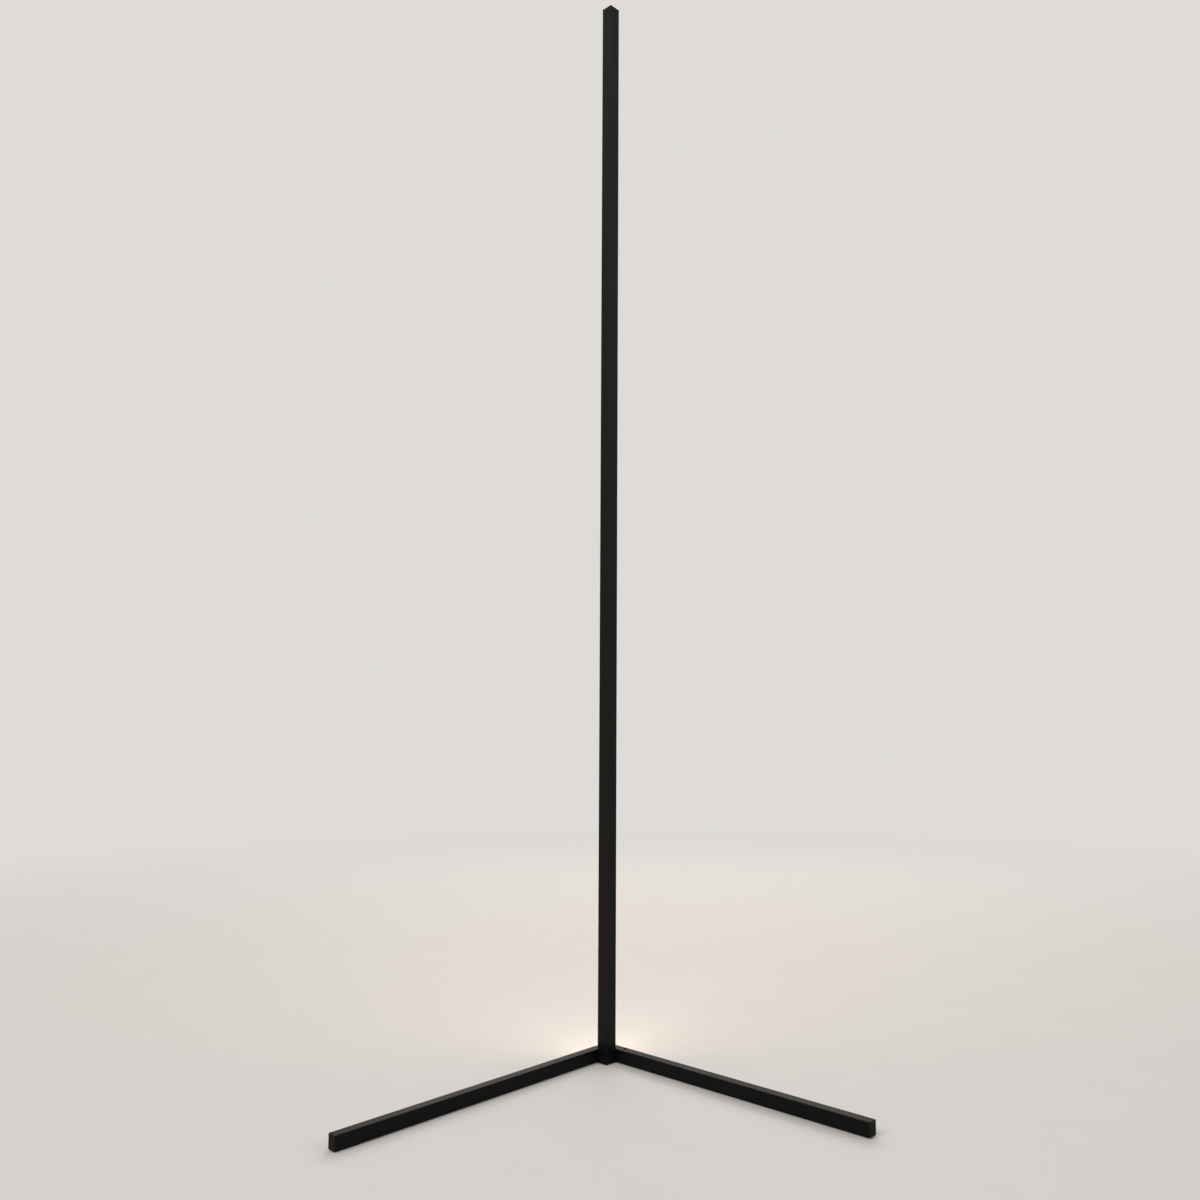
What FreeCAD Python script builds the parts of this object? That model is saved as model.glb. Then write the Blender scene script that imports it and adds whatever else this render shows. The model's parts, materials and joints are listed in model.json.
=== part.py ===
import FreeCAD, Part
import math
import os
import re

import Sketcher

# Corner floor lamp. Millimetres, +Z up. The origin is the mast's axis on the floor. The room's corner,
# which the lamp lights, is on +Y, and the mast's sharp edge looks along -Y, at the room.
#
# Two frames are used. The mast and what is in it are drawn in the lamp's own X and Y. The base is drawn
# in frames that are turned about Z: in the right foot's frame x runs out along the right foot and y across
# it, towards the wall, and in the left foot's frame x runs out along the left foot and y across it, away
# from the wall.

SIZES = {
    # the whole lamp
    "lamp_height": 1400.0,
    "pad_thickness": 1.0,
    # the two feet: solid bars, mitred at the corner behind the mast
    "foot_length": 390.0,
    "foot_width": 12.0,
    "foot_height": 15.5,
    "foot_edge_radius": 0.5,
    "foot_end_bevel": 0.3,
    # rubber pads under the base
    "centre_pad_side": 12.0,
    "end_pad_length": 20.0,
    "end_pad_width": 9.0,
    "end_pad_inset": 10.0,
    "pad_corner_radius": 2.0,
    # the mast's extrusion: two walls square to each other, and a web that carries the light strip
    "mast_width": 16.0,
    "mast_wall": 1.2,
    "mast_edge_radius": 0.4,
    "wall_tip_radius": 0.15,
    "seat_depth": 2.8,
    "seat_thickness": 1.2,
    "snap_drop": 1.3,
    "snap_half_height": 0.45,
    "snap_reach": 0.4,
    # the opal cover that snaps between the walls
    "cover_rise": 4.5,
    "cover_wall": 1.0,
    "cover_clearance": 0.1,
    # the end cap on the mast's top
    "cap_thickness": 2.0,
    "cap_lip": 0.4,
    "cap_plug_length": 12.0,
    "cap_plug_clearance": 0.08,
    "cap_plug_lead_in": 0.5,
    "cap_edge_bevel": 0.3,
    # the cast connector that stands in the corner of the feet and reaches up into the mast
    "tongue_length": 70.0,
    "tongue_clearance": 0.1,
    "tongue_lead_in": 0.75,
    # countersunk screws from the feet's outer faces into the connector
    "foot_screw_diameter": 4.0,
    "foot_screw_head": 7.5,
    "foot_screw_length": 20.0,
    "foot_screw_offset": 3.5,
    "foot_screw_socket": 2.5,
    # countersunk screws through the web into the connector's tongue, under the light strip
    "mast_screw_diameter": 2.5,
    "mast_screw_head": 4.7,
    "mast_screw_length": 5.0,
    "mast_screw_socket": 1.5,
    "mast_screw_start": 20.0,
    "mast_screw_spacing": 30.0,
    # fits that all screws and their holes share
    "screw_clearance": 0.05,
    "socket_depth": 1.2,
    "small_socket_depth": 0.7,
    # the light strip
    "strip_width": 10.0,
    "strip_thickness": 0.4,
    "strip_margin": 6.0,
    "strip_section": 50.0,
    "led_length": 3.5,
    "led_width": 2.8,
    "led_height": 0.7,
    "section_led_count": 3,
    "resistor_length": 3.2,
    "resistor_width": 1.6,
    "resistor_height": 0.6,
    # the bay in the right foot's underside
    "bay_start": 12.0,
    "bay_length": 50.0,
    "bay_side_wall": 1.5,
    "bay_roof": 3.0,
    "bay_tab": 7.0,
    "bay_cover_thickness": 1.2,
    "bay_cover_clearance": 0.1,
    "rib_height": 0.8,
    "rib_width": 2.0,
    "rib_inset": 5.0,
    "bay_screw_diameter": 2.0,
    "bay_screw_head": 3.6,
    "bay_screw_length": 4.0,
    "bay_screw_socket": 1.2,
    "bay_screw_offset": 2.2,
    # the dimmer board and what is on it
    "board_thickness": 1.0,
    "board_clearance": 0.2,
    "chip_length": 4.9,
    "chip_width": 3.9,
    "chip_height": 1.5,
    "chip_place": 12.5,
    "chip_bevel": 0.3,
    "inductor_diameter": 6.0,
    "inductor_height": 3.4,
    "inductor_flange": 0.7,
    "inductor_winding": 5.2,
    "inductor_place": 34.5,
    "capacitor_diameter": 5.0,
    "capacitor_height": 6.0,
    "capacitor_place": 41.5,
    "capacitor_edge": 0.4,
    "crimp_level": 1.3,
    "crimp_depth": 0.3,
    "smd_length": 2.0,
    "smd_width": 1.2,
    "smd_height": 0.5,
    "smd_place": 7.8,
    "smd_pitch": 2.4,
    "smd_count": 4,
    # the power inlet, soldered to the board, with its mouth in the foot's outer face
    "inlet_place": 23.5,
    "inlet_width": 9.0,
    "inlet_height": 9.2,
    "inlet_back_gap": 0.3,
    "inlet_nose_diameter": 7.6,
    "inlet_nose_clearance": 0.1,
    "inlet_recess": 0.1,
    "inlet_bore": 5.6,
    "inlet_mouth_bevel": 0.4,
    "inlet_floor": 1.2,
    "inlet_pin": 2.0,
    "inlet_pin_recess": 1.0,
    "inlet_pin_clearance": 0.05,
    # the push button and the switch below it
    "button_place": 16.4,
    "button_offset": 2.0,
    "button_diameter": 4.4,
    "button_clearance": 0.08,
    "button_proud": 0.5,
    "button_edge": 0.2,
    "button_travel": 0.5,
    "wing_length": 6.6,
    "wing_width": 3.4,
    "wing_height": 0.8,
    "wing_gap": 0.1,
    "stem_diameter": 2.4,
    "switch_side": 4.4,
    "switch_height": 3.8,
    "plunger_diameter": 2.6,
    "plunger_clearance": 0.08,
    "plunger_proud": 0.8,
    "plunger_depth": 1.2,
    # the two leads from the board to the strip, and their way through foot and connector
    "lead_diameter": 1.2,
    "lead_pitch": 1.5,
    "lead_way": 3.4,
    "lead_way_height": 4.0,
    "lead_bore_offset": 2.0,
    "lead_bend": 1.6,
    "lead_rise": 7.0,
}

ROOT2 = "sqrt(2)"
HALF = "(mast_width / 2)"
TOP = "(pad_thickness + foot_height)"
MAST_TOP = "(lamp_height - cap_thickness)"
HALF_SPAN = f"(mast_width / {ROOT2})"
INNER_SPAN = f"({HALF_SPAN} - mast_wall * {ROOT2})"
SEAT_FRONT = "(seat_depth + seat_thickness)"
CHANNEL_HEIGHT = f"({INNER_SPAN} - {SEAT_FRONT})"

FOOT_OUTER = f"({HALF} + foot_width)"
FOOT_MIDDLE = f"({HALF} + foot_width / 2)"
FOOT_END = f"(foot_length - {FOOT_OUTER})"
SCREW_LEVEL = "(pad_thickness + foot_height / 2)"

BAY_END = "(bay_start + bay_length)"
BAY_NEAR = f"({HALF} + bay_side_wall)"
BAY_FAR = f"({FOOT_OUTER} - bay_side_wall)"
BAY_CEILING = f"({TOP} - bay_roof)"
COVER_TOP = "(pad_thickness + bay_cover_thickness)"
BOARD_BOTTOM = f"({COVER_TOP} + rib_height)"
BOARD_TOP = f"({BOARD_BOTTOM} + board_thickness)"
BUTTON_ACROSS = f"({FOOT_MIDDLE} + button_offset)"
SWITCH_TOP = f"({BOARD_TOP} + switch_height)"
PLUNGER_TOP = f"({SWITCH_TOP} + plunger_proud)"
INLET_ALONG = "(bay_start + inlet_place)"
INLET_LEVEL = f"({BOARD_TOP} + inlet_height / 2)"
LEAD_BORE = f"(lead_bore_offset / {ROOT2})"
# A screw's head, shank and length
FOOT_SCREW = ("foot_screw_head", "foot_screw_diameter", "foot_screw_length")
MAST_SCREW = ("mast_screw_head", "mast_screw_diameter", "mast_screw_length")
BAY_SCREWS = {"inner": "(bay_start - bay_tab / 2)", "outer": f"({BAY_END} + bay_tab / 2)"}
BAY_SCREW_ACROSS = f"({FOOT_MIDDLE} + bay_screw_offset)"
MAST_SCREWS = {
    "lower": f"({TOP} + mast_screw_start)",
    "upper": f"({TOP} + mast_screw_start + mast_screw_spacing)",
}
STRIP_START = f"({TOP} + strip_margin)"
STRIP_LENGTH = f"({MAST_TOP} - {STRIP_START} - strip_margin)"
SECTIONS = f"floor({STRIP_LENGTH} / strip_section)"
STRIP_FACE = "(seat_depth - strip_thickness)"

# The turns of the two feet's frames about Z: the feet stand square to each other.
RIGHT_TURN = -45.0
LEFT_TURN = RIGHT_TURN - 90.0

# Two places nearer than this are the same place.
CLOSE = 1e-3

# The flat sides round a lead
TUBE_SIDES = 6

doc = FreeCAD.newDocument("CornerFloorLamp")
sheet = doc.addObject("Spreadsheet::Sheet", "Dimensions")
for row, (alias, size) in enumerate(SIZES.items(), start=1):
    sheet.set(f"A{row}", alias)
    sheet.set(f"B{row}", str(size))
    sheet.setAlias(f"B{row}", alias)
doc.recompute()

nodes = []


def bound(text):
    """An expression with each size's name turned into a reference to the sheet."""

    def reference(word):
        return f"Dimensions.{word[0]}" if word[0] in SIZES else word[0]

    return re.sub(r"[a-z]\w*", reference, str(text))


def value(text):
    """The number that an expression gives now."""
    return float(sheet.evalExpression(bound(text)))


def tie(item, prop, text):
    """Bind a property of an object to an expression of the sheet."""
    item.setExpression(prop, bound(text))


def about_z(turn):
    return FreeCAD.Rotation(FreeCAD.Vector(0, 0, 1), turn)


def body(name, turn=0.0, many=False):
    """An empty body for a sub-part, turned about Z."""
    item = doc.addObject("PartDesign::Body", name)
    item.Label = name
    item.AllowCompound = many
    item.Placement = FreeCAD.Placement(FreeCAD.Vector(0, 0, 0), about_z(turn))
    nodes.append(item)
    return item


def origin_item(item, role):
    return next(feature for feature in item.Origin.OriginFeatures if feature.Role == role)


def sketch(item, name, plane, across, up, off, turn=0.0):
    """A sketch on one of the body's own planes, with its origin moved in the plane and off it."""
    drawing = item.newObject("Sketcher::SketchObject", f"{item.Name}_{name}")
    drawing.AttachmentSupport = (origin_item(item, plane), "")
    drawing.MapMode = "FlatFace"
    drawing.AttachmentOffset = FreeCAD.Placement(FreeCAD.Vector(0, 0, 0), about_z(turn))
    tie(drawing, "AttachmentOffset.Base.x", across)
    tie(drawing, "AttachmentOffset.Base.y", up)
    tie(drawing, "AttachmentOffset.Base.z", off)
    return drawing


def place(drawing, edge, point, across, up):
    """Hold a point of the sketch at two signed distances from the sketch's origin."""
    for kind, text in (("DistanceX", across), ("DistanceY", up)):
        number = drawing.addConstraint(Sketcher.Constraint(kind, -1, 1, edge, point, value(text)))
        tie(drawing, f"Constraints[{number}]", text)


def arc(start, end, radius, turn):
    """The arc under a half circle from start to end, and its first end's number.

    It runs counter-clockwise where turn is 1, and clockwise where it is -1.
    """
    if turn < 0:
        start, end = end, start
    chord = end - start
    middle = (start + end) * 0.5
    reach = math.sqrt(radius**2 - chord.Length**2 / 4)
    normal = FreeCAD.Vector(-chord.y, chord.x, 0).normalize()
    centre = middle + normal * reach
    circle = Part.Circle(centre, FreeCAD.Vector(0, 0, 1), radius)
    return Part.ArcOfCircle(circle, circle.parameter(start), circle.parameter(end)), 1 if turn > 0 else 2


def outline(drawing, corners):
    """A closed outline. A corner is (across, up), or (across, up, radius, turn) where an arc leaves it."""
    points = [FreeCAD.Vector(value(corner[0]), value(corner[1]), 0) for corner in corners]
    count = len(corners)
    starts = []
    for number, corner in enumerate(corners):
        start, end = points[number], points[(number + 1) % count]
        first = 1
        if len(corner) == 4:
            shape, first = arc(start, end, value(corner[2]), corner[3])
        else:
            shape = Part.LineSegment(start, end)
        starts.append((drawing.addGeometry(shape, False), first))
    for number, corner in enumerate(corners):
        edge, first = starts[number]
        following, joint = starts[(number + 1) % count]
        drawing.addConstraint(Sketcher.Constraint("Coincident", edge, 3 - first, following, joint))
    for number, corner in enumerate(corners):
        edge, first = starts[number]
        place(drawing, edge, first, corner[0], corner[1])
        if len(corner) == 4:
            radius = drawing.addConstraint(Sketcher.Constraint("Radius", edge, value(corner[2])))
            tie(drawing, f"Constraints[{radius}]", corner[2])


def box_outline(drawing, low_x, high_x, low_y, high_y):
    outline(drawing, [(low_x, low_y), (high_x, low_y), (high_x, high_y), (low_x, high_y)])


def ring(drawing, radius):
    """A circle about the sketch's origin."""
    circle = Part.Circle(FreeCAD.Vector(0, 0, 0), FreeCAD.Vector(0, 0, 1), value(radius))
    edge = drawing.addGeometry(circle, False)
    drawing.addConstraint(Sketcher.Constraint("Coincident", edge, 3, -1, 1))
    number = drawing.addConstraint(Sketcher.Constraint("Radius", edge, value(radius)))
    tie(drawing, f"Constraints[{number}]", radius)


def feature(item, kind, name, drawing):
    made = item.newObject(f"PartDesign::{kind}", f"{item.Name}_{name}")
    made.Profile = drawing
    return made


def raised(item, name, drawing, length):
    """A pad along the sketch's normal."""
    pad = feature(item, "Pad", name, drawing)
    tie(pad, "Length", length)
    drawing.Visibility = False
    return pad


def sunk(item, name, drawing, length):
    """A pocket against the sketch's normal, which has to take something away."""
    doc.recompute()
    before = item.Shape.Volume
    pocket = feature(item, "Pocket", name, drawing)
    tie(pocket, "Length", length)
    must_cut(item, name, before)
    return pocket


def must_cut(item, name, before):
    """Stop where a cut has left the body's volume as it was before."""
    doc.recompute()
    if item.Shape.Volume > before - CLOSE:
        raise RuntimeError(f"{item.Label}: {name} cuts nothing")


def slab(item, name, x, y, z):
    """A block between the pairs of expressions x, y and z."""
    drawing = sketch(item, f"{name}_outline", "XY_Plane", "0", "0", z[0])
    box_outline(drawing, *x, *y)
    return raised(item, name, drawing, f"{z[1]} - {z[0]}")


def trench(item, name, x, y, z):
    """A cut of the same form as a slab."""
    drawing = sketch(item, f"{name}_outline", "XY_Plane", "0", "0", z[1])
    box_outline(drawing, *x, *y)
    return sunk(item, name, drawing, f"{z[1]} - {z[0]}")


def upright(item, name, x, y, outline_points, cut=False):
    """A shape turned about a vertical axis at x, y, or a cut of that form. Points are (radius, level)."""
    drawing = sketch(item, f"{name}_outline", "XZ_Plane", x, "0", f"-({y})")
    return turned(item, name, drawing, outline_points, cut)


def lying(item, name, x, z, outline_points, cut=False):
    """A shape turned about an axis along the body's Y, or a cut. Points are (radius, place along Y)."""
    drawing = sketch(item, f"{name}_outline", "XY_Plane", x, "0", z)
    return turned(item, name, drawing, outline_points, cut)


def turned(item, name, drawing, outline_points, cut=False):
    """A shape turned about its sketch's upright axis, or a cut of that form."""
    outline(drawing, outline_points)
    doc.recompute()
    before = item.Shape.Volume if cut else 0.0
    made = feature(item, "Groove" if cut else "Revolution", name, drawing)
    made.ReferenceAxis = (drawing, ["V_Axis"])
    made.Angle = 360.0
    if cut:
        must_cut(item, name, before)
    return made


def drilled(item, name, plane, across, up, off, radius, depth):
    """A round hole, cut against the plane's normal from a sketch at off."""
    drawing = sketch(item, f"{name}_outline", plane, across, up, off)
    ring(drawing, radius)
    return sunk(item, name, drawing, depth)


def hexagon(item, name, plane, across, up, off, width, depth):
    """A hexagon socket, cut against the plane's normal."""
    drawing = sketch(item, f"{name}_outline", plane, across, up, off)
    corner = f"({width} / sqrt(3))"
    turns = [(math.cos(math.radians(60 * k)), math.sin(math.radians(60 * k))) for k in range(6)]
    outline(drawing, [(f"{corner} * {x:.6f}", f"{corner} * {y:.6f}") for x, y in turns])
    return sunk(item, name, drawing, depth)


def edges_where(item, test):
    """The names of the edges of a body's shape for whose two ends the test holds."""
    names = []
    for number, edge in enumerate(item.Shape.Edges, start=1):
        ends = [item.Placement.inverse().multVec(vertex.Point) for vertex in edge.Vertexes]
        if len(ends) == 2 and test(*ends):
            names.append(f"Edge{number}")
    return names


def stands(a, b):
    """Whether an edge between two points goes up or down."""
    return abs(a.z - b.z) > CLOSE


def rounded(item, name, radius, test):
    """A fillet on the edges that the test picks."""
    doc.recompute()
    base = item.Tip
    made = item.newObject("PartDesign::Fillet", f"{item.Name}_{name}")
    made.Base = (base, edges_where(item, test))
    tie(made, "Radius", radius)
    return made


def bevelled(item, name, size, test):
    """A chamfer on the edges that the test picks."""
    doc.recompute()
    base = item.Tip
    made = item.newObject("PartDesign::Chamfer", f"{item.Name}_{name}")
    made.Base = (base, edges_where(item, test))
    tie(made, "Size", size)
    return made


def countersunk(across, head, shank, length, grow="0"):
    """The outline of a countersunk screw, or of its hole, from the head's face at across towards -Y."""
    wide = f"({head} / 2 + {grow})"
    thin = f"({shank} / 2 + {grow})"
    neck = f"({across} - ({wide} - {thin}))"
    end = f"({across} - {length} - 4 * {grow})"
    return [("0", across), (wide, across), (thin, neck), (thin, end), ("0", end)]


def repeated(item, name, original, length, count):
    """Copies of a feature in a row up the body's Z axis, length from the first to the last."""
    row = item.newObject("PartDesign::LinearPattern", f"{item.Name}_{name}")
    row.Originals = [original]
    row.Direction = (origin_item(item, "Z_Axis"), [""])
    tie(row, "Length", length)
    tie(row, "Occurrences", count)
    item.Tip = row
    return row


# ------------------------------------------------------------------------------------------ the base


def foot_bar(name, turn, side):
    """One foot: a bar with its mitre and its screw's hole. Side is 1 on the right and -1 on the left."""
    item = body(name, turn)
    plan = sketch(item, "plan", "XY_Plane", "0", "0", "pad_thickness")
    near = f"{side} * {HALF}"
    far = f"{side} * {FOOT_OUTER}"
    outline(plan, [(f"-{HALF}", near), (FOOT_END, near), (FOOT_END, far), (f"-{FOOT_OUTER}", far)])
    raised(item, "bar", plan, "foot_height")
    mitre = value("2 * foot_width")
    rounded(item, "long_edges", "foot_edge_radius", lambda a, b: abs(a.x - b.x) > mitre)
    end = value(FOOT_END) - CLOSE
    bevelled(item, "end_edges", "foot_end_bevel", lambda a, b: min(a.x, b.x) > end)
    hole = countersunk(FOOT_OUTER, *FOOT_SCREW, "screw_clearance")
    if side < 0:
        hole = [(radius, f"-({along})") for radius, along in hole]
    lying(item, "screw_hole", "foot_screw_offset", SCREW_LEVEL, hole, cut=True)
    return item


def left_foot():
    """The plain foot."""
    foot_bar("left_foot", LEFT_TURN, -1)


def right_foot():
    """The foot with the bay for the dimmer board, the lead way, and the button's and the inlet's holes."""
    item = foot_bar("right_foot", RIGHT_TURN, 1)
    across = (BAY_NEAR, BAY_FAR)
    trench(item, "bay", ("bay_start", BAY_END), across, ("pad_thickness", BAY_CEILING))
    tabs = ("bay_start - bay_tab", f"{BAY_END} + bay_tab")
    trench(item, "cover_recess", tabs, across, ("pad_thickness", COVER_TOP))
    levels = ("pad_thickness", "pad_thickness + lead_way_height")
    inner = f"-{LEAD_BORE} - lead_way / 2"
    trench(item, "lead_way", (inner, "bay_start"), (BAY_NEAR, f"{BAY_NEAR} + lead_way"), levels)
    trench(item, "lead_turn", (inner, f"-{LEAD_BORE} + lead_way / 2"), (HALF, BAY_NEAR), levels)
    button_hole = "button_diameter / 2 + button_clearance"
    drilled(item, "button_hole", "XY_Plane", "button_place", BUTTON_ACROSS, TOP, button_hole, "bay_roof")
    mouth = "inlet_nose_diameter / 2 + inlet_nose_clearance"
    drilled(item, "inlet_hole", "XZ_Plane", INLET_ALONG, INLET_LEVEL, f"-{BAY_FAR}", mouth, "bay_side_wall")
    drill = "bay_screw_diameter / 2 + screw_clearance"
    depth = "bay_screw_length - bay_cover_thickness + 4 * screw_clearance"
    end = f"{COVER_TOP} + {depth}"
    for name, along in BAY_SCREWS.items():
        drilled(item, f"{name}_screw_hole", "XY_Plane", along, BAY_SCREW_ACROSS, end, drill, depth)


def corner_connector():
    """A cast block in the corner between the feet, with a tongue that goes up into the mast's channel."""
    item = body("corner_connector", RIGHT_TURN)
    slab(item, "block", (f"-{HALF}", HALF), (f"-{HALF}", HALF), ("pad_thickness", TOP))
    corner = value(HALF) - CLOSE
    rounded(
        item,
        "front_edge",
        "mast_edge_radius",
        lambda a, b: min(a.x, b.x) > corner and max(a.y, b.y) < -corner,
    )
    inset = "(mast_wall + tongue_clearance)"
    leg = f"({CHANNEL_HEIGHT} * {ROOT2} - (2 + {ROOT2}) * tongue_clearance)"
    plan = sketch(item, "tongue_plan", "XY_Plane", "0", "0", TOP)
    right_x = f"({HALF} - {inset})"
    low_y = f"(-{HALF} + {inset})"
    outline(plan, [(right_x, low_y), (right_x, f"{low_y} + {leg}"), (f"{right_x} - {leg}", low_y)])
    raised(item, "tongue", plan, "tongue_length")
    tip = value(f"{TOP} + tongue_length") - CLOSE
    bevelled(item, "tongue_lead_in", "tongue_lead_in", lambda a, b: min(a.z, b.z) > tip)
    drill = "foot_screw_diameter / 2 + screw_clearance"
    depth = "(foot_screw_length - foot_width + 4 * screw_clearance)"
    end = f"{depth} - {HALF}"
    drilled(item, "right_hole", "XZ_Plane", "foot_screw_offset", SCREW_LEVEL, end, drill, depth)
    drilled(item, "left_hole", "YZ_Plane", "-foot_screw_offset", SCREW_LEVEL, end, drill, depth)
    way = (f"-{LEAD_BORE} - lead_way / 2", f"-{LEAD_BORE} + lead_way / 2")
    levels = ("pad_thickness", "pad_thickness + lead_way_height")
    trench(item, "lead_way", way, (f"{LEAD_BORE} - lead_way / 2", HALF), levels)
    drilled(item, "lead_bore", "XY_Plane", f"-{LEAD_BORE}", LEAD_BORE, TOP, "lead_way / 2", "foot_height")
    mouth = f"-({SEAT_FRONT} + tongue_clearance / 2)"
    floor = "-(seat_depth + mast_screw_length + 4 * screw_clearance)"
    drill = "mast_screw_diameter / 2 + screw_clearance"
    for name, level in MAST_SCREWS.items():
        drawing = sketch(item, f"{name}_tongue_hole_outline", "XY_Plane", "0", "0", level, -RIGHT_TURN)
        hole = [("0", mouth), (drill, mouth), (drill, floor), ("0", floor)]
        turned(item, f"{name}_tongue_hole", drawing, hole, cut=True)


def floor_pads():
    """Three rubber pads, one under the mast and one near each foot's end, as one set."""
    item = body("floor_pads", RIGHT_TURN, many=True)
    half_side = "centre_pad_side / 2"
    levels = ("0", "pad_thickness")
    slab(item, "centre", (f"-{half_side}", half_side), (f"-{half_side}", half_side), levels)
    along = (f"{FOOT_END} - end_pad_inset - end_pad_length", f"{FOOT_END} - end_pad_inset")
    across = (f"{FOOT_MIDDLE} - end_pad_width / 2", f"{FOOT_MIDDLE} + end_pad_width / 2")
    slab(item, "right", along, across, levels)
    slab(item, "left", [f"-({x})" for x in reversed(across)], [f"-({y})" for y in reversed(along)], levels)
    rounded(item, "corners", "pad_corner_radius", stands)


def foot_screws():
    """The two screws that hold the feet to the connector, one from each foot's outer face."""
    item = body("foot_screws", RIGHT_TURN, many=True)
    right = sketch(item, "right_outline", "XY_Plane", "foot_screw_offset", "0", SCREW_LEVEL)
    turned(item, "right", right, countersunk(FOOT_OUTER, *FOOT_SCREW))
    left = sketch(item, "left_outline", "XZ_Plane", "0", SCREW_LEVEL, "foot_screw_offset")
    flat = [(f"-({along})", radius) for radius, along in countersunk(FOOT_OUTER, *FOOT_SCREW)]
    outline(left, flat)
    made = feature(item, "Revolution", "left", left)
    made.ReferenceAxis = (left, ["H_Axis"])
    made.Angle = 360.0
    doc.recompute()
    width, depth = "foot_screw_socket", "socket_depth"
    inner = f"-({FOOT_OUTER} - {depth})"
    hexagon(item, "right_socket", "XZ_Plane", "foot_screw_offset", SCREW_LEVEL, inner, width, depth)
    hexagon(item, "left_socket", "YZ_Plane", "-foot_screw_offset", SCREW_LEVEL, inner, width, depth)


# ------------------------------------------------------------------------------------------ the mast


def wall_line(drop, reach="0"):
    """A point on the inner side of the mast's wall, drop from the walls' ends and reach into the wall."""
    return f"{INNER_SPAN} - ({drop}) + {reach}", f"-({drop})"


def snap_points(reach, grow="0", inset="0"):
    """The three points of the snap groove, or of the bead that fits it, from the wall's end downwards."""
    half = f"(snap_half_height + {grow})"
    upper = wall_line(f"snap_drop - {half}", f"-({inset})")
    middle = wall_line("snap_drop", reach)
    lower = wall_line(f"snap_drop + {half}", f"-({inset})")
    return [upper, middle, lower]


def mirrored(points):
    return [(f"-({x})", y) for x, y in reversed(points)]


def mast_profile():
    """The extrusion: two walls at a right angle, the light strip's web, and a snap groove in each wall."""
    item = body("mast_profile")
    plan = sketch(item, "plan", "XY_Plane", "0", "0", TOP)
    right = [(INNER_SPAN, "0"), *snap_points("snap_reach"), wall_line("seat_depth")]
    left_tip = (f"-{HALF_SPAN}", "0")
    outline(plan, [("0", f"-{HALF_SPAN}"), (HALF_SPAN, "0"), *right, *mirrored(right), left_tip])
    raised(item, "walls", plan, f"{MAST_TOP} - {TOP}")
    channel = sketch(item, "channel_plan", "XY_Plane", "0", "0", MAST_TOP)
    back = f"-{SEAT_FRONT}"
    outline(channel, [("0", f"-{INNER_SPAN}"), (CHANNEL_HEIGHT, back), (f"-{CHANNEL_HEIGHT}", back)])
    sunk(item, "channel", channel, f"{MAST_TOP} - {TOP}")
    span = value(HALF_SPAN) - CLOSE
    rounded(item, "front_edge", "mast_edge_radius", lambda a, b: max(a.y, b.y) < -span and stands(a, b))
    rounded(item, "wall_tips", "wall_tip_radius", lambda a, b: abs(a.x) > span and stands(a, b))
    hole = countersunk("0", *MAST_SCREW, "screw_clearance")
    for name, level in MAST_SCREWS.items():
        drawing = sketch(item, f"{name}_hole_outline", "XY_Plane", "0", "-seat_depth", level)
        turned(item, f"{name}_hole", drawing, seat_hole(hole), cut=True)


def seat_hole(points):
    """The part of a screw's hole that goes through the web."""
    end = "-(seat_thickness + tongue_clearance / 2)"
    return [*points[:3], (points[3][0], end), ("0", end)]


def mast_screws():
    """Countersunk screws that hold the mast to the connector's tongue. The light strip covers them."""
    item = body("mast_screws", many=True)
    for name, level in MAST_SCREWS.items():
        drawing = sketch(item, f"{name}_outline", "XY_Plane", "0", "-seat_depth", level)
        turned(item, name, drawing, countersunk("0", *MAST_SCREW))
    width, depth = "mast_screw_socket", "small_socket_depth"
    floor = f"seat_depth + {depth}"
    for name, level in MAST_SCREWS.items():
        hexagon(item, f"{name}_socket", "XZ_Plane", "0", level, floor, width, depth)


def diffuser():
    """The opal cover: a crowned back and two legs with beads that snap into the walls' grooves."""
    item = body("diffuser")
    plan = sketch(item, "plan", "XY_Plane", "0", "0", TOP)
    gap = f"(cover_clearance * {ROOT2})"
    leg = f"(cover_wall * {ROOT2})"
    half_chord = f"({INNER_SPAN} - {gap})"
    inner_chord = f"({half_chord} - {leg})"
    crown = f"(({half_chord}^2 + cover_rise^2) / (2 * cover_rise))"
    inner_rise = "(cover_rise - cover_wall)"
    inner_crown = f"(({inner_chord}^2 + {inner_rise}^2) / (2 * {inner_rise}))"
    beads = snap_points("snap_reach - 2 * cover_clearance", "-cover_clearance / 2", gap)
    foot_outer = wall_line("seat_depth", f"-({gap})")
    foot_inner = wall_line("seat_depth", f"-({gap}) - {leg}")
    outer_right = [*reversed(beads)]
    outline(
        plan,
        [
            foot_inner,
            foot_outer,
            *outer_right,
            (half_chord, "0", crown, 1),
            (f"-{half_chord}", "0"),
            *mirrored(outer_right),
            (f"-({foot_outer[0]})", foot_outer[1]),
            (f"-({foot_inner[0]})", foot_inner[1]),
            (f"-{inner_chord}", "0", inner_crown, -1),
            (inner_chord, "0"),
        ],
    )
    raised(item, "cover", plan, f"{MAST_TOP} - {TOP}")


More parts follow.
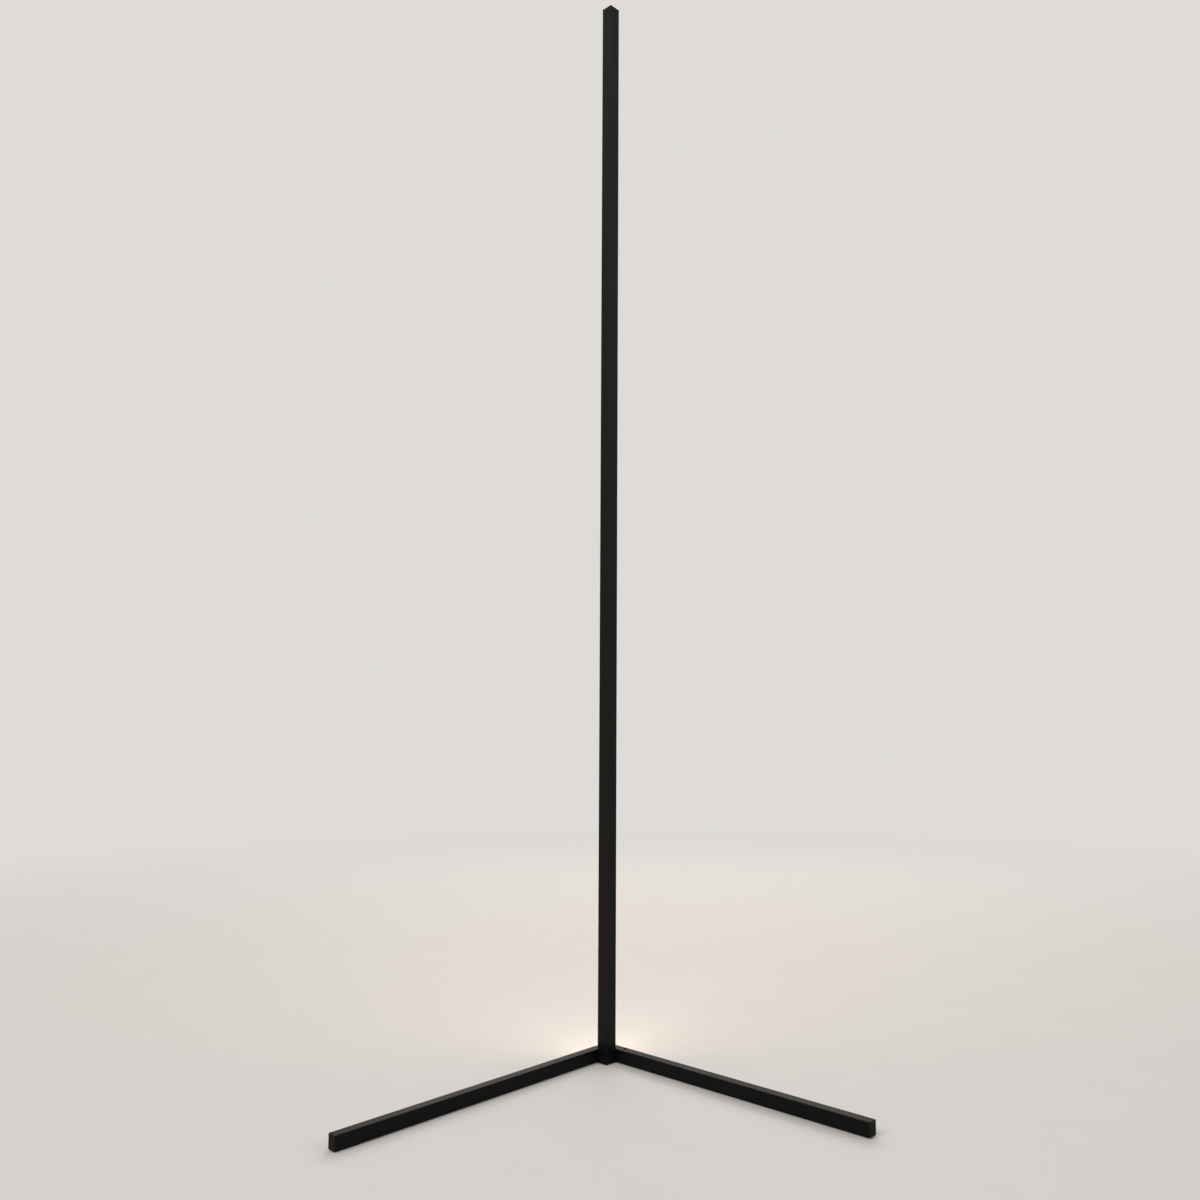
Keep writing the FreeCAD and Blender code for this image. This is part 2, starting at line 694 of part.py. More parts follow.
def top_cap():
    """The end cap: a plate over the mast and its cover, on a plug that fills the mast's channel."""
    item = body("top_cap")
    plan = sketch(item, "plan", "XY_Plane", "0", "0", MAST_TOP)
    rise = "(cover_rise + cap_lip)"
    crown = f"(({HALF_SPAN}^2 + {rise}^2) / (2 * {rise}))"
    outline(plan, [("0", f"-{HALF_SPAN}"), (HALF_SPAN, "0", crown, 1), (f"-{HALF_SPAN}", "0")])
    raised(item, "plate", plan, "cap_thickness")
    span = value(HALF_SPAN) - CLOSE
    rounded(item, "front_edge", "mast_edge_radius", lambda a, b: max(a.y, b.y) < -span and stands(a, b))
    top = value("lamp_height") - CLOSE
    bevelled(item, "top_edge", "cap_edge_bevel", lambda a, b: min(a.z, b.z) > top)
    plug = sketch(item, "plug_plan", "XY_Plane", "0", "0", f"{MAST_TOP} - cap_plug_length")
    fit = "cap_plug_clearance"
    corner = f"({CHANNEL_HEIGHT} - {fit} * (1 + {ROOT2}))"
    apex = f"-({INNER_SPAN} - {fit} * {ROOT2})"
    back = f"-({SEAT_FRONT} + {fit})"
    outline(plug, [("0", apex), (corner, back), (f"-{corner}", back)])
    raised(item, "plug", plug, "cap_plug_length")
    tip = value(f"{MAST_TOP} - cap_plug_length") + CLOSE
    bevelled(item, "plug_lead_in", "cap_plug_lead_in", lambda a, b: max(a.z, b.z) < tip)


# ----------------------------------------------------------------------------------- the light strip


def led_strip():
    """The strip's narrow board, on the web from just above the base to just below the cap."""
    item = body("led_strip")
    half = "strip_width / 2"
    slab(
        item,
        "board",
        (f"-{half}", half),
        ("-seat_depth", f"-{STRIP_FACE}"),
        (STRIP_START, f"{STRIP_START} + {STRIP_LENGTH}"),
    )


def led_chips():
    """The strip's light-emitting chips, the same number in every section."""
    item = body("led_chips", many=True)
    pitch = "(strip_section / section_led_count)"
    low = f"({STRIP_START} + {pitch} / 2 - led_length / 2)"
    half = "led_width / 2"
    across = (f"-{STRIP_FACE}", f"-{STRIP_FACE} + led_height")
    first = slab(item, "first", (f"-{half}", half), across, (low, f"{low} + led_length"))
    count = f"({SECTIONS} * section_led_count)"
    repeated(item, "row", first, f"{pitch} * ({count} - 1)", count)


def strip_resistors():
    """One resistor in every section of the strip, beside the chips."""
    item = body("strip_resistors", many=True)
    low = f"({STRIP_START} + strip_section / section_led_count - resistor_length / 2)"
    half = "resistor_width / 2"
    across = (f"-{STRIP_FACE}", f"-{STRIP_FACE} + resistor_height")
    first = slab(item, "first", (f"-{half}", half), across, (low, f"{low} + resistor_length"))
    repeated(item, "row", first, f"strip_section * ({SECTIONS} - 1)", SECTIONS)


# ------------------------------------------------------------------------------------ the dimmer bay


def bay_cover():
    """The plate that closes the bay, with two ribs that the board lies on."""
    item = body("bay_cover", RIGHT_TURN)
    gap = "bay_cover_clearance"
    across = (f"{BAY_NEAR} + {gap}", f"{BAY_FAR} - {gap}")
    along = (f"bay_start - bay_tab + {gap}", f"{BAY_END} + bay_tab - {gap}")
    slab(item, "plate", along, across, ("pad_thickness", COVER_TOP))
    inset = ("bay_start + rib_inset", "bay_start + rib_inset + rib_width")
    slab(item, "inner_rib", inset, across, (COVER_TOP, BOARD_BOTTOM))
    inset = (f"{BAY_END} - rib_inset - rib_width", f"{BAY_END} - rib_inset")
    slab(item, "outer_rib", inset, across, (COVER_TOP, BOARD_BOTTOM))
    for name, along in BAY_SCREWS.items():
        wide = "(bay_screw_head / 2 + screw_clearance)"
        thin = "(bay_screw_diameter / 2 + screw_clearance)"
        hole = standing_screw(wide, thin, COVER_TOP)
        upright(item, f"{name}_hole", along, BAY_SCREW_ACROSS, hole, cut=True)


def standing_screw(wide, thin, tip):
    """The outline of a countersunk screw, or of its hole, from the base's underside up to tip."""
    neck = f"pad_thickness + {wide} - {thin}"
    return [("0", "pad_thickness"), (wide, "pad_thickness"), (thin, neck), (thin, tip), ("0", tip)]


def bay_cover_screws():
    """The two screws that hold the bay's cover."""
    item = body("bay_cover_screws", RIGHT_TURN, many=True)
    tip = "pad_thickness + bay_screw_length"
    shape = standing_screw("(bay_screw_head / 2)", "(bay_screw_diameter / 2)", tip)
    for name, along in BAY_SCREWS.items():
        upright(item, name, along, BAY_SCREW_ACROSS, shape)
    width, depth = "bay_screw_socket", "small_socket_depth"
    level = f"pad_thickness + {depth}"
    for name, along in BAY_SCREWS.items():
        hexagon(item, f"{name}_socket", "XY_Plane", along, BAY_SCREW_ACROSS, level, width, depth)


def dimmer_board():
    """The board on the cover's ribs."""
    item = body("dimmer_board", RIGHT_TURN)
    gap = "board_clearance"
    along = (f"bay_start + {gap}", f"{BAY_END} - {gap}")
    slab(item, "board", along, (f"{BAY_NEAR} + {gap}", f"{BAY_FAR} - {gap}"), (BOARD_BOTTOM, BOARD_TOP))


def dimmer_chip():
    """The dimmer's chip: a flat moulded case with bevelled edges round its top."""
    item = body("dimmer_chip", RIGHT_TURN)
    middle = "(bay_start + chip_place)"
    along = (f"{middle} - chip_length / 2", f"{middle} + chip_length / 2")
    across = (f"{FOOT_MIDDLE} - chip_width / 2", f"{FOOT_MIDDLE} + chip_width / 2")
    slab(item, "case", along, across, (BOARD_TOP, f"{BOARD_TOP} + chip_height"))
    top = value(f"{BOARD_TOP} + chip_height") - CLOSE
    bevelled(item, "top_edges", "chip_bevel", lambda a, b: min(a.z, b.z) > top)


def power_inductor():
    """The inductor: a drum core, whose two flanges stand out past the winding between them."""
    item = body("power_inductor", RIGHT_TURN)
    flange = "(inductor_diameter / 2)"
    winding = "(inductor_winding / 2)"
    lower = f"({BOARD_TOP} + inductor_flange)"
    top = f"({BOARD_TOP} + inductor_height)"
    upper = f"({top} - inductor_flange)"
    shape = [
        ("0", BOARD_TOP),
        (flange, BOARD_TOP),
        (flange, lower),
        (winding, lower),
        (winding, upper),
        (flange, upper),
        (flange, top),
        ("0", top),
    ]
    upright(item, "drum", "bay_start + inductor_place", FOOT_MIDDLE, shape)


def board_capacitor():
    """The capacitor's can, with the crimp near its foot and a bevelled rim."""
    item = body("board_capacitor", RIGHT_TURN)
    radius = "(capacitor_diameter / 2)"
    crimp = f"({BOARD_TOP} + crimp_level)"
    top = f"({BOARD_TOP} + capacitor_height)"
    shape = [
        ("0", BOARD_TOP),
        (radius, BOARD_TOP),
        (radius, f"{crimp} - crimp_depth"),
        (f"{radius} - crimp_depth", crimp),
        (radius, f"{crimp} + crimp_depth"),
        (radius, f"{top} - capacitor_edge"),
        (f"{radius} - capacitor_edge", top),
        ("0", top),
    ]
    upright(item, "can", "bay_start + capacitor_place", FOOT_MIDDLE, shape)


def board_resistors():
    """A row of small components between the button's switch and the dimmer's chip."""
    item = body("board_resistors", RIGHT_TURN, many=True)
    along = ("bay_start + smd_place", "bay_start + smd_place + smd_length")
    levels = (BOARD_TOP, f"{BOARD_TOP} + smd_height")
    for number in range(round(value("smd_count"))):
        middle = f"({FOOT_MIDDLE} + ({number} - (smd_count - 1) / 2) * smd_pitch)"
        across = (f"{middle} - smd_width / 2", f"{middle} + smd_width / 2")
        slab(item, f"number_{number}", along, across, levels)


def power_inlet():
    """The barrel inlet: a case on the board, and a round nose in the foot's outer wall with the socket."""
    item = body("power_inlet", RIGHT_TURN)
    along = (f"{INLET_ALONG} - inlet_width / 2", f"{INLET_ALONG} + inlet_width / 2")
    across = (f"{BAY_NEAR} + inlet_back_gap", f"{BAY_FAR} - inlet_back_gap")
    slab(item, "case", along, across, (BOARD_TOP, f"{BOARD_TOP} + inlet_height"))
    face = f"({FOOT_OUTER} - inlet_recess)"
    radius = "inlet_nose_diameter / 2"
    back = across[0]
    nose = [("0", back), (radius, back), (radius, face), ("0", face)]
    lying(item, "nose", INLET_ALONG, INLET_LEVEL, nose)
    bore = "(inlet_bore / 2)"
    floor = f"({back} + inlet_floor)"
    mouth = f"({bore} + inlet_mouth_bevel)"
    rim = f"({face} - inlet_mouth_bevel)"
    socket = [("0", floor), (bore, floor), (bore, rim), (mouth, face), ("0", face)]
    lying(item, "socket", INLET_ALONG, INLET_LEVEL, socket, cut=True)
    pin_hole = "inlet_pin / 2 + inlet_pin_clearance"
    drilled(item, "pin_hole", "XZ_Plane", INLET_ALONG, INLET_LEVEL, f"-({back})", pin_hole, "inlet_floor")


def inlet_pin():
    """The inlet's centre pin, with a rounded tip."""
    item = body("inlet_pin", RIGHT_TURN)
    back = f"({BAY_NEAR} + inlet_back_gap)"
    tip = f"({FOOT_OUTER} - inlet_recess - inlet_pin_recess)"
    radius = "(inlet_pin / 2)"
    nose = f"({radius} / 2)"
    shape = [("0", back), (radius, back), (radius, f"{tip} - {nose}"), (nose, tip), ("0", tip)]
    lying(item, "pin", INLET_ALONG, INLET_LEVEL, shape)


# ---------------------------------------------------------------------------------------- the button


def power_button():
    """The cap in the foot's top, its wings under the bay's roof, and the stem down to the switch."""
    item = body("power_button", RIGHT_TURN)
    radius = "button_diameter / 2"
    under = f"({BAY_CEILING} - wing_gap - wing_height)"
    crown = f"({TOP} + button_proud)"
    side = (radius, f"{crown} - button_edge")
    cap = [("0", under), (radius, under), side, (f"{radius} - button_edge", crown), ("0", crown)]
    upright(item, "cap", "button_place", BUTTON_ACROSS, cap)
    along = ("button_place - wing_length / 2", "button_place + wing_length / 2")
    across = (f"{BUTTON_ACROSS} - wing_width / 2", f"{BUTTON_ACROSS} + wing_width / 2")
    slab(item, "wings", along, across, (under, f"{BAY_CEILING} - wing_gap"))
    stem = "stem_diameter / 2"
    shape = [("0", PLUNGER_TOP), (stem, PLUNGER_TOP), (stem, under), ("0", under)]
    upright(item, "stem", "button_place", BUTTON_ACROSS, shape)


def switch_body():
    """The switch under the button, open at the top for its plunger."""
    item = body("switch_body", RIGHT_TURN)
    half = "switch_side / 2"
    along = (f"button_place - {half}", f"button_place + {half}")
    across = (f"{BUTTON_ACROSS} - {half}", f"{BUTTON_ACROSS} + {half}")
    slab(item, "case", along, across, (BOARD_TOP, SWITCH_TOP))
    radius = "plunger_diameter / 2 + plunger_clearance"
    depth = "plunger_depth + button_travel + wing_gap"
    drilled(item, "well", "XY_Plane", "button_place", BUTTON_ACROSS, SWITCH_TOP, radius, depth)


def switch_plunger():
    """The switch's plunger, which the button's stem stands on."""
    item = body("switch_plunger", RIGHT_TURN)
    radius = "plunger_diameter / 2"
    bottom = f"{SWITCH_TOP} - plunger_depth"
    shape = [("0", bottom), (radius, bottom), (radius, PLUNGER_TOP), ("0", PLUNGER_TOP)]
    upright(item, "plunger", "button_place", BUTTON_ACROSS, shape)


# ----------------------------------------------------------------------------------------- the leads


def lead(name, side):
    """One lead, from the board through the foot and the connector up to the strip. Side is 1 or -1."""
    radius = value("lead_diameter / 2")
    apart = side * value("lead_pitch / 2")
    bore = value(LEAD_BORE)
    level = value("pad_thickness + lead_way_height / 2")
    run = value(f"{BAY_NEAR} + lead_way / 2") - apart
    turn = apart - bore
    to_lamp = about_z(RIGHT_TURN)
    pad_level = value(f"{TOP} + lead_rise")
    pad = FreeCAD.Vector(side * value("strip_width / 4"), radius - value(STRIP_FACE), pad_level)
    route = [
        to_lamp.multVec(FreeCAD.Vector(value("bay_start"), run, level)),
        to_lamp.multVec(FreeCAD.Vector(turn, run, level)),
        to_lamp.multVec(FreeCAD.Vector(turn, bore, level)),
        to_lamp.multVec(FreeCAD.Vector(turn, bore, value(f"{TOP} + lead_rise / 2"))),
        pad,
        pad + FreeCAD.Vector(0, 0, value("strip_margin")),
    ]
    item = doc.addObject("Part::Feature", name)
    item.Label = name
    item.Shape = tube(route, radius, value("lead_bend"))
    nodes.append(item)


def tube(points, radius, bend):
    """A tube on straight runs through points, bent to radius bend, or less where the runs are short."""
    first_run = points[1] - points[0]
    across = first_run.cross(FreeCAD.Vector(0, 0, 1)).normalize() * radius
    turns = [FreeCAD.Rotation(first_run, 360 / TUBE_SIDES * side) for side in range(TUBE_SIDES)]
    corners = [points[0] + turn.multVec(across) for turn in turns]
    section = Part.Face(Part.makePolygon([*corners, corners[0]]))
    pieces = []
    start = points[0]
    for before, corner, after in zip(points, points[1:], points[2:]):
        into = (corner - before).normalize()
        out = (after - corner).normalize()
        turn = into.getAngle(out)
        shorter = min((corner - before).Length, (after - corner).Length)
        set_back = min(bend * math.tan(turn / 2), 0.45 * shorter)
        run = corner - into * set_back - start
        inward = (out - into * out.dot(into)).normalize()
        centre = start + run + inward * (set_back / math.tan(turn / 2))
        pieces.append(section.extrude(run))
        section = section.translated(run)
        pieces.append(section.revolve(centre, into.cross(out), math.degrees(turn)))
        section = section.rotated(centre, into.cross(out), math.degrees(turn))
        start = corner + out * set_back
    pieces.append(section.extrude(points[-1] - start))
    return pieces[0].multiFuse(pieces[1:]).removeSplitter()


def check_and_write():
    """Stop on anything that failed, then write each sub-part to its own file."""
    doc.recompute()
    for item in doc.Objects:
        failed = [state for state in item.State if state in ("Invalid", "Error")]
        if failed:
            raise RuntimeError(f"{item.Name}: {failed}")
    for item in nodes:
        if item.Shape.isNull() or not item.Shape.isValid() or not item.Shape.Solids:
            raise RuntimeError(f"{item.Label} has no valid solid")
    os.makedirs("parts", exist_ok=True)
    for item in nodes:
        item.Shape.exportStep(f"parts/{item.Label}.step")
        volume = item.Shape.Volume
        print(f"{item.Label}: {len(item.Shape.Solids)} solid(s), {volume:.1f} mm3")


corner_connector()
left_foot()
right_foot()
foot_screws()
floor_pads()
mast_profile()
mast_screws()
diffuser()
top_cap()
led_strip()
led_chips()
strip_resistors()
bay_cover()
bay_cover_screws()
dimmer_board()
dimmer_chip()
power_inductor()
board_capacitor()
board_resistors()
power_inlet()
inlet_pin()
power_button()
switch_body()
switch_plunger()
lead("red_lead", 1)
lead("black_lead", -1)
check_and_write()
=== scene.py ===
import json
import math

import bmesh
import bpy
from mathutils import Matrix, Vector


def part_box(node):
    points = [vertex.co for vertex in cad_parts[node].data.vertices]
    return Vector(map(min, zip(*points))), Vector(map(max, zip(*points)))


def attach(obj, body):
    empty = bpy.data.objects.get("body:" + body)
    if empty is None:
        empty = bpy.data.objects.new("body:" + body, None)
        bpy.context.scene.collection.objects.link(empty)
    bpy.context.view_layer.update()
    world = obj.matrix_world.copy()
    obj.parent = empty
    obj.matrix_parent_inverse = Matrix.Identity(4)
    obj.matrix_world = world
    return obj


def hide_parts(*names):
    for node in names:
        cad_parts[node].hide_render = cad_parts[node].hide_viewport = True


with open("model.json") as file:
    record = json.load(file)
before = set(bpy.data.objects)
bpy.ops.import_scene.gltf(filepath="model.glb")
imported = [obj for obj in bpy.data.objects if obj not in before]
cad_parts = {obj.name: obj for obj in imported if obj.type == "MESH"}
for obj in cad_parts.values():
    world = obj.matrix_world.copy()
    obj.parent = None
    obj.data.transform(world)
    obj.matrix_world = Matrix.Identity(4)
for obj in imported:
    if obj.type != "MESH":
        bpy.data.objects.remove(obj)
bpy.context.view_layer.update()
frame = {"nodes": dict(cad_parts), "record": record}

# Corner floor lamp. Metres, +Z up, the mast's axis on the floor as the origin. The sharp edge of the mast
# looks along -Y, to the front, and the opal cover that gives the light looks along +Y, to the back.

MM = 0.001
SLOT_OF = {part["node"]: part["material_slot"] for part in frame["record"]["subparts"]}
BODY_OF = {node: body for body, nodes in frame["record"]["behaviour"]["bodies"].items() for node in nodes}

# The mast's pieces lie square to the lamp, and the base's to the right foot, turned this far about Z
BASE_TURN = math.radians(-45)
LAMP = Matrix.Identity(4)
BASE = Matrix.Rotation(BASE_TURN, 4, "Z")

# Faces that meet at less than this are one smooth surface
CREASE = math.radians(28)

# Points of a mesh nearer to each other than this are one
MERGE = 0.002 * MM

# A face nearer to a level than this lies on it
FLUSH = 0.05 * MM


# ---------------------------------------------------------------------------------- what the frame says


def box_of(points):
    """The lowest and highest corners of some points."""
    low = Vector([min(point[axis] for point in points) for axis in range(3)])
    high = Vector([max(point[axis] for point in points) for axis in range(3)])
    return low, high


def solid_boxes(node, turn=LAMP):
    """The box of each separate solid of a node, in the lamp's frame or the base's, from the lowest up."""
    mesh = bmesh.new()
    mesh.from_mesh(frame["nodes"][node].data)
    bmesh.ops.remove_doubles(mesh, verts=mesh.verts, dist=MERGE)
    bmesh.ops.transform(mesh, matrix=turn.inverted(), verts=mesh.verts)
    boxes = []
    left = set(mesh.verts)
    while left:
        reached = [left.pop()]
        solid = []
        while reached:
            vertex = reached.pop()
            solid.append(vertex.co.copy())
            nearby = {edge.other_vert(vertex) for edge in vertex.link_edges} & left
            left -= nearby
            reached.extend(nearby)
        boxes.append(box_of(solid))
    mesh.free()
    return sorted(boxes, key=lambda box: tuple(round(box[0][axis], 5) for axis in (2, 0, 1)))


# The light strip's chips, three to each section of the strip
LED_BOXES = solid_boxes("led_chips")
CHIP_PITCH = (LED_BOXES[-1][0].z - LED_BOXES[0][0].z) / (len(LED_BOXES) - 1)
SECTION = 3 * CHIP_PITCH

# The dimmer's board in the base's frame
BOARD_LOW, BOARD_HIGH = solid_boxes("dimmer_board", BASE)[0]


# ---------------------------------------------------------------------------------- tools for materials


def new_material(name):
    """A material with only a Principled shader and its output."""
    material = bpy.data.materials.new(name)
    material.use_nodes = True
    tree = material.node_tree
    shader = next(node for node in tree.nodes if node.type == "BSDF_PRINCIPLED")
    return material, tree, shader


def add(tree, kind, **settings):
    """A new node with these settings."""
    node = tree.nodes.new(kind)
    for name, setting in settings.items():
        setattr(node, name, setting)
    return node


def feed(tree, source, socket):
    """Set a socket to a number or a colour, or link another node's output to it."""
    if isinstance(source, bpy.types.NodeSocket):
        tree.links.new(source, socket)
    else:
        socket.default_value = source


def figure(tree, operation, *sources):
    """The output of a Math node."""
    node = add(tree, "ShaderNodeMath", operation=operation)
    for source, socket in zip(sources, node.inputs):
        feed(tree, source, socket)
    return node.outputs[0]


def product(tree, first, second):
    """The output of a Math node that multiplies."""
    return figure(tree, "MULTIPLY", first, second)


def stretch(tree, source, low, high, new_low=0.0, new_high=1.0, how="LINEAR"):
    """A value between low and high mapped to between new_low and new_high, and no further."""
    node = add(tree, "ShaderNodeMapRange", interpolation_type=how)
    ends = {"Value": source, "From Min": low, "From Max": high, "To Min": new_low, "To Max": new_high}
    for label, end in ends.items():
        feed(tree, end, node.inputs[label])
    return node.outputs["Result"]


def colour(red, green, blue):
    """An opaque colour, as a socket takes it."""
    return (red, green, blue, 1.0)


def blend(tree, mask, first, second):
    """One colour to the other by a mask."""
    node = add(tree, "ShaderNodeMix", data_type="RGBA")
    feed(tree, mask, node.inputs["Factor"])
    for source, socket in zip((first, second), [item for item in node.inputs if item.type == "RGBA"]):
        feed(tree, source, socket)
    return next(item for item in node.outputs if item.type == "RGBA")


def object_place(tree, turn=0.0, scale=(1.0, 1.0, 1.0)):
    """Object coordinates, scaled and then turned about Z."""
    node = add(tree, "ShaderNodeMapping")
    node.inputs["Rotation"].default_value = (0.0, 0.0, turn)
    node.inputs["Scale"].default_value = scale
    tree.links.new(add(tree, "ShaderNodeTexCoord").outputs["Object"], node.inputs["Vector"])
    return node.outputs["Vector"]


def axes_of(tree, place):
    """The X, Y and Z of a place or a direction, each an output."""
    parts = add(tree, "ShaderNodeSeparateXYZ")
    tree.links.new(place, parts.inputs["Vector"])
    return parts.outputs


def noise(tree, place, scale, detail):
    """The output of a noise texture, about one half on average."""
    node = add(tree, "ShaderNodeTexNoise")
    feed(tree, place, node.inputs["Vector"])
    feed(tree, scale, node.inputs["Scale"])
    feed(tree, detail, node.inputs["Detail"])
    return node.outputs["Fac"]


def new_group(name, inputs, outputs):
    """A node group with the named float inputs and outputs."""
    tree = bpy.data.node_groups.new(name, "ShaderNodeTree")
    for label, start in inputs.items():
        socket = tree.interface.new_socket(label, in_out="INPUT", socket_type="NodeSocketFloat")
        socket.default_value = start
    for label in outputs:
        tree.interface.new_socket(label, in_out="OUTPUT", socket_type="NodeSocketFloat")
    given = add(tree, "NodeGroupInput").outputs
    result = add(tree, "NodeGroupOutput").inputs
    return tree, given, result


def placed(tree, group, **values):
    """A node group placed in a material, with its own values."""
    node = add(tree, "ShaderNodeGroup", node_tree=group)
    for label, value in values.items():
        node.inputs[label.capitalize().replace("_", " ")].default_value = value
    return node.outputs


def rough_up(tree, shader, height, depth, strength=0.4):
    """A bump of this depth from a height."""
    node = add(tree, "ShaderNodeBump")
    node.inputs["Strength"].default_value = strength
    node.inputs["Distance"].default_value = depth
    tree.links.new(height, node.inputs["Height"])
    tree.links.new(node.outputs["Normal"], shader.inputs["Normal"])


# ---------------------------------------------------------------------------------- shared surface effects


def surface_grain():
    """The grain of coated and moulded surfaces: fine peel, and a slow drift of gloss and tone."""
    inputs = {"Grain": 1500.0, "Drift": 9.0, "Least gloss": 0.5, "Most gloss": 0.4}
    tree, given, result = new_group("surface grain", inputs, ("Height", "Roughness", "Tone"))
    place = object_place(tree)
    peel = noise(tree, place, given["Grain"], detail=3.0)
    drift = stretch(tree, noise(tree, place, given["Drift"], detail=4.0), 0.3, 0.7)
    mixed = figure(tree, "MULTIPLY_ADD", peel, 0.4, product(tree, drift, 0.6))
    gloss = stretch(tree, mixed, 0.2, 0.8, given["Most gloss"], given["Least gloss"])
    tree.links.new(peel, result["Height"])
    tree.links.new(gloss, result["Roughness"])
    tree.links.new(mixed, result["Tone"])
    return tree


def die_lines():
    """The faint lines that the die leaves along an extrusion, which runs up Z."""
    inputs = {"Fineness": 2400.0, "Least gloss": 0.5, "Most gloss": 0.34}
    tree, given, result = new_group("die lines", inputs, ("Height", "Roughness"))
    drawn_out = object_place(tree, scale=(1.0, 1.0, 0.003))
    lines = noise(tree, drawn_out, given["Fineness"], detail=2.0)
    slow = stretch(tree, noise(tree, object_place(tree), scale=6.0, detail=3.0), 0.3, 0.7)
    mixed = figure(tree, "MULTIPLY_ADD", lines, 0.5, product(tree, slow, 0.5))
    gloss = stretch(tree, mixed, 0.2, 0.8, given["Most gloss"], given["Least gloss"])
    tree.links.new(lines, result["Height"])
    tree.links.new(gloss, result["Roughness"])
    return tree


def settled_dust():
    """A mask of the fine dust that lies on faces that look up."""
    tree, given, result = new_group("settled dust", {"Amount": 0.1}, ("Mask",))
    normal = add(tree, "ShaderNodeNewGeometry").outputs["Normal"]
    upward = stretch(tree, axes_of(tree, normal)["Z"], 0.6, 1.0)
    specks = stretch(tree, noise(tree, object_place(tree), scale=900.0, detail=5.0), 0.45, 0.8)
    tree.links.new(product(tree, product(tree, upward, specks), given["Amount"]), result["Mask"])
    return tree


def painted_edge_sheen():
    """A mask of the edges, broken up along their length, on which a lighter tone is painted as a sheen."""
    inputs = {"Reach": 0.4 * MM, "Amount": 0.5}
    tree, given, result = new_group("painted edge sheen", inputs, ("Mask",))
    rounded = add(tree, "ShaderNodeBevel", samples=4)
    tree.links.new(given["Reach"], rounded.inputs["Radius"])
    turned = add(tree, "ShaderNodeVectorMath", operation="DOT_PRODUCT")
    tree.links.new(rounded.outputs["Normal"], turned.inputs[0])
    tree.links.new(add(tree, "ShaderNodeNewGeometry").outputs["Normal"], turned.inputs[1])
    # The rounded normal turns away from the face's own only near an edge
    edge = stretch(tree, turned.outputs["Value"], 0.995, 0.90)
    broken = stretch(tree, noise(tree, object_place(tree), scale=60.0, detail=5.0), 0.40, 0.68)
    tree.links.new(product(tree, product(tree, edge, broken), given["Amount"]), result["Mask"])
    return tree


GRAIN = surface_grain()
LINES = die_lines()
DUST = settled_dust()
EDGE_SHEEN = painted_edge_sheen()


# ---------------------------------------------------------------------------------- the lamp's finishes

DUST_TONE = (0.24, 0.22, 0.20)
# Lighter tones painted on the edges of the coat and of the anodising: a painted sheen
COAT_SHEEN_TONE = (0.045, 0.043, 0.042)
ANODISING_SHEEN_TONE = (0.060, 0.058, 0.058)

# The lit cover down its middle and at its sides, and the light that it gives
GLOW_MIDDLE = (1.0, 0.82, 0.60)
GLOW_SIDES = (0.74, 0.53, 0.34)
GLOW_STRENGTH = 0.55
LIGHT_TINT = (1.0, 0.80, 0.58)


def grey(low, high):
    """Two close neutral tones."""
    return (low, low, low), (high, high, high)


def grained(name, tones, gloss, grain, depth, metallic=0.0, specular=0.5, dust=0.0, edge_sheen=0.0):
    """A coated or moulded finish: its two close tones, its most and least roughness, and its grain."""
    material, tree, shader = new_material(name)
    shader.inputs["Metallic"].default_value = metallic
    shader.inputs["Specular IOR Level"].default_value = specular
    surface = placed(tree, GRAIN, grain=grain, least_gloss=gloss[0], most_gloss=gloss[1])
    tone = blend(tree, surface["Tone"], colour(*tones[0]), colour(*tones[1]))
    if dust:
        tone = blend(tree, placed(tree, DUST, amount=dust)["Mask"], tone, colour(*DUST_TONE))
    # The edges are painted a lighter tone: a painted sheen
    if edge_sheen:
        tone = blend(tree, placed(tree, EDGE_SHEEN, amount=edge_sheen)["Mask"], tone, colour(*COAT_SHEEN_TONE))
    tree.links.new(tone, shader.inputs["Base Color"])
    tree.links.new(surface["Roughness"], shader.inputs["Roughness"])
    rough_up(tree, shader, surface["Height"], depth)
    return material


def black_anodised():
    """The mast's black anodised aluminium, with die lines up its length and a painted sheen on its sharp
    edges.
    """
    material, tree, shader = new_material("black anodised aluminium")
    shader.inputs["Specular IOR Level"].default_value = 0.11
    lines = placed(tree, LINES, least_gloss=0.50, most_gloss=0.32)
    tone = blend(tree, lines["Height"], colour(0.0028, 0.0026, 0.0027), colour(0.0066, 0.0061, 0.0063))
    # Its sharp edges are painted a lighter tone: a painted sheen
    tone = blend(tree, placed(tree, EDGE_SHEEN, amount=0.5)["Mask"], tone, colour(*ANODISING_SHEEN_TONE))
    tree.links.new(tone, shader.inputs["Base Color"])
    tree.links.new(lines["Roughness"], shader.inputs["Roughness"])
    rough_up(tree, shader, lines["Height"], 0.06 * MM, strength=0.3)
    return material


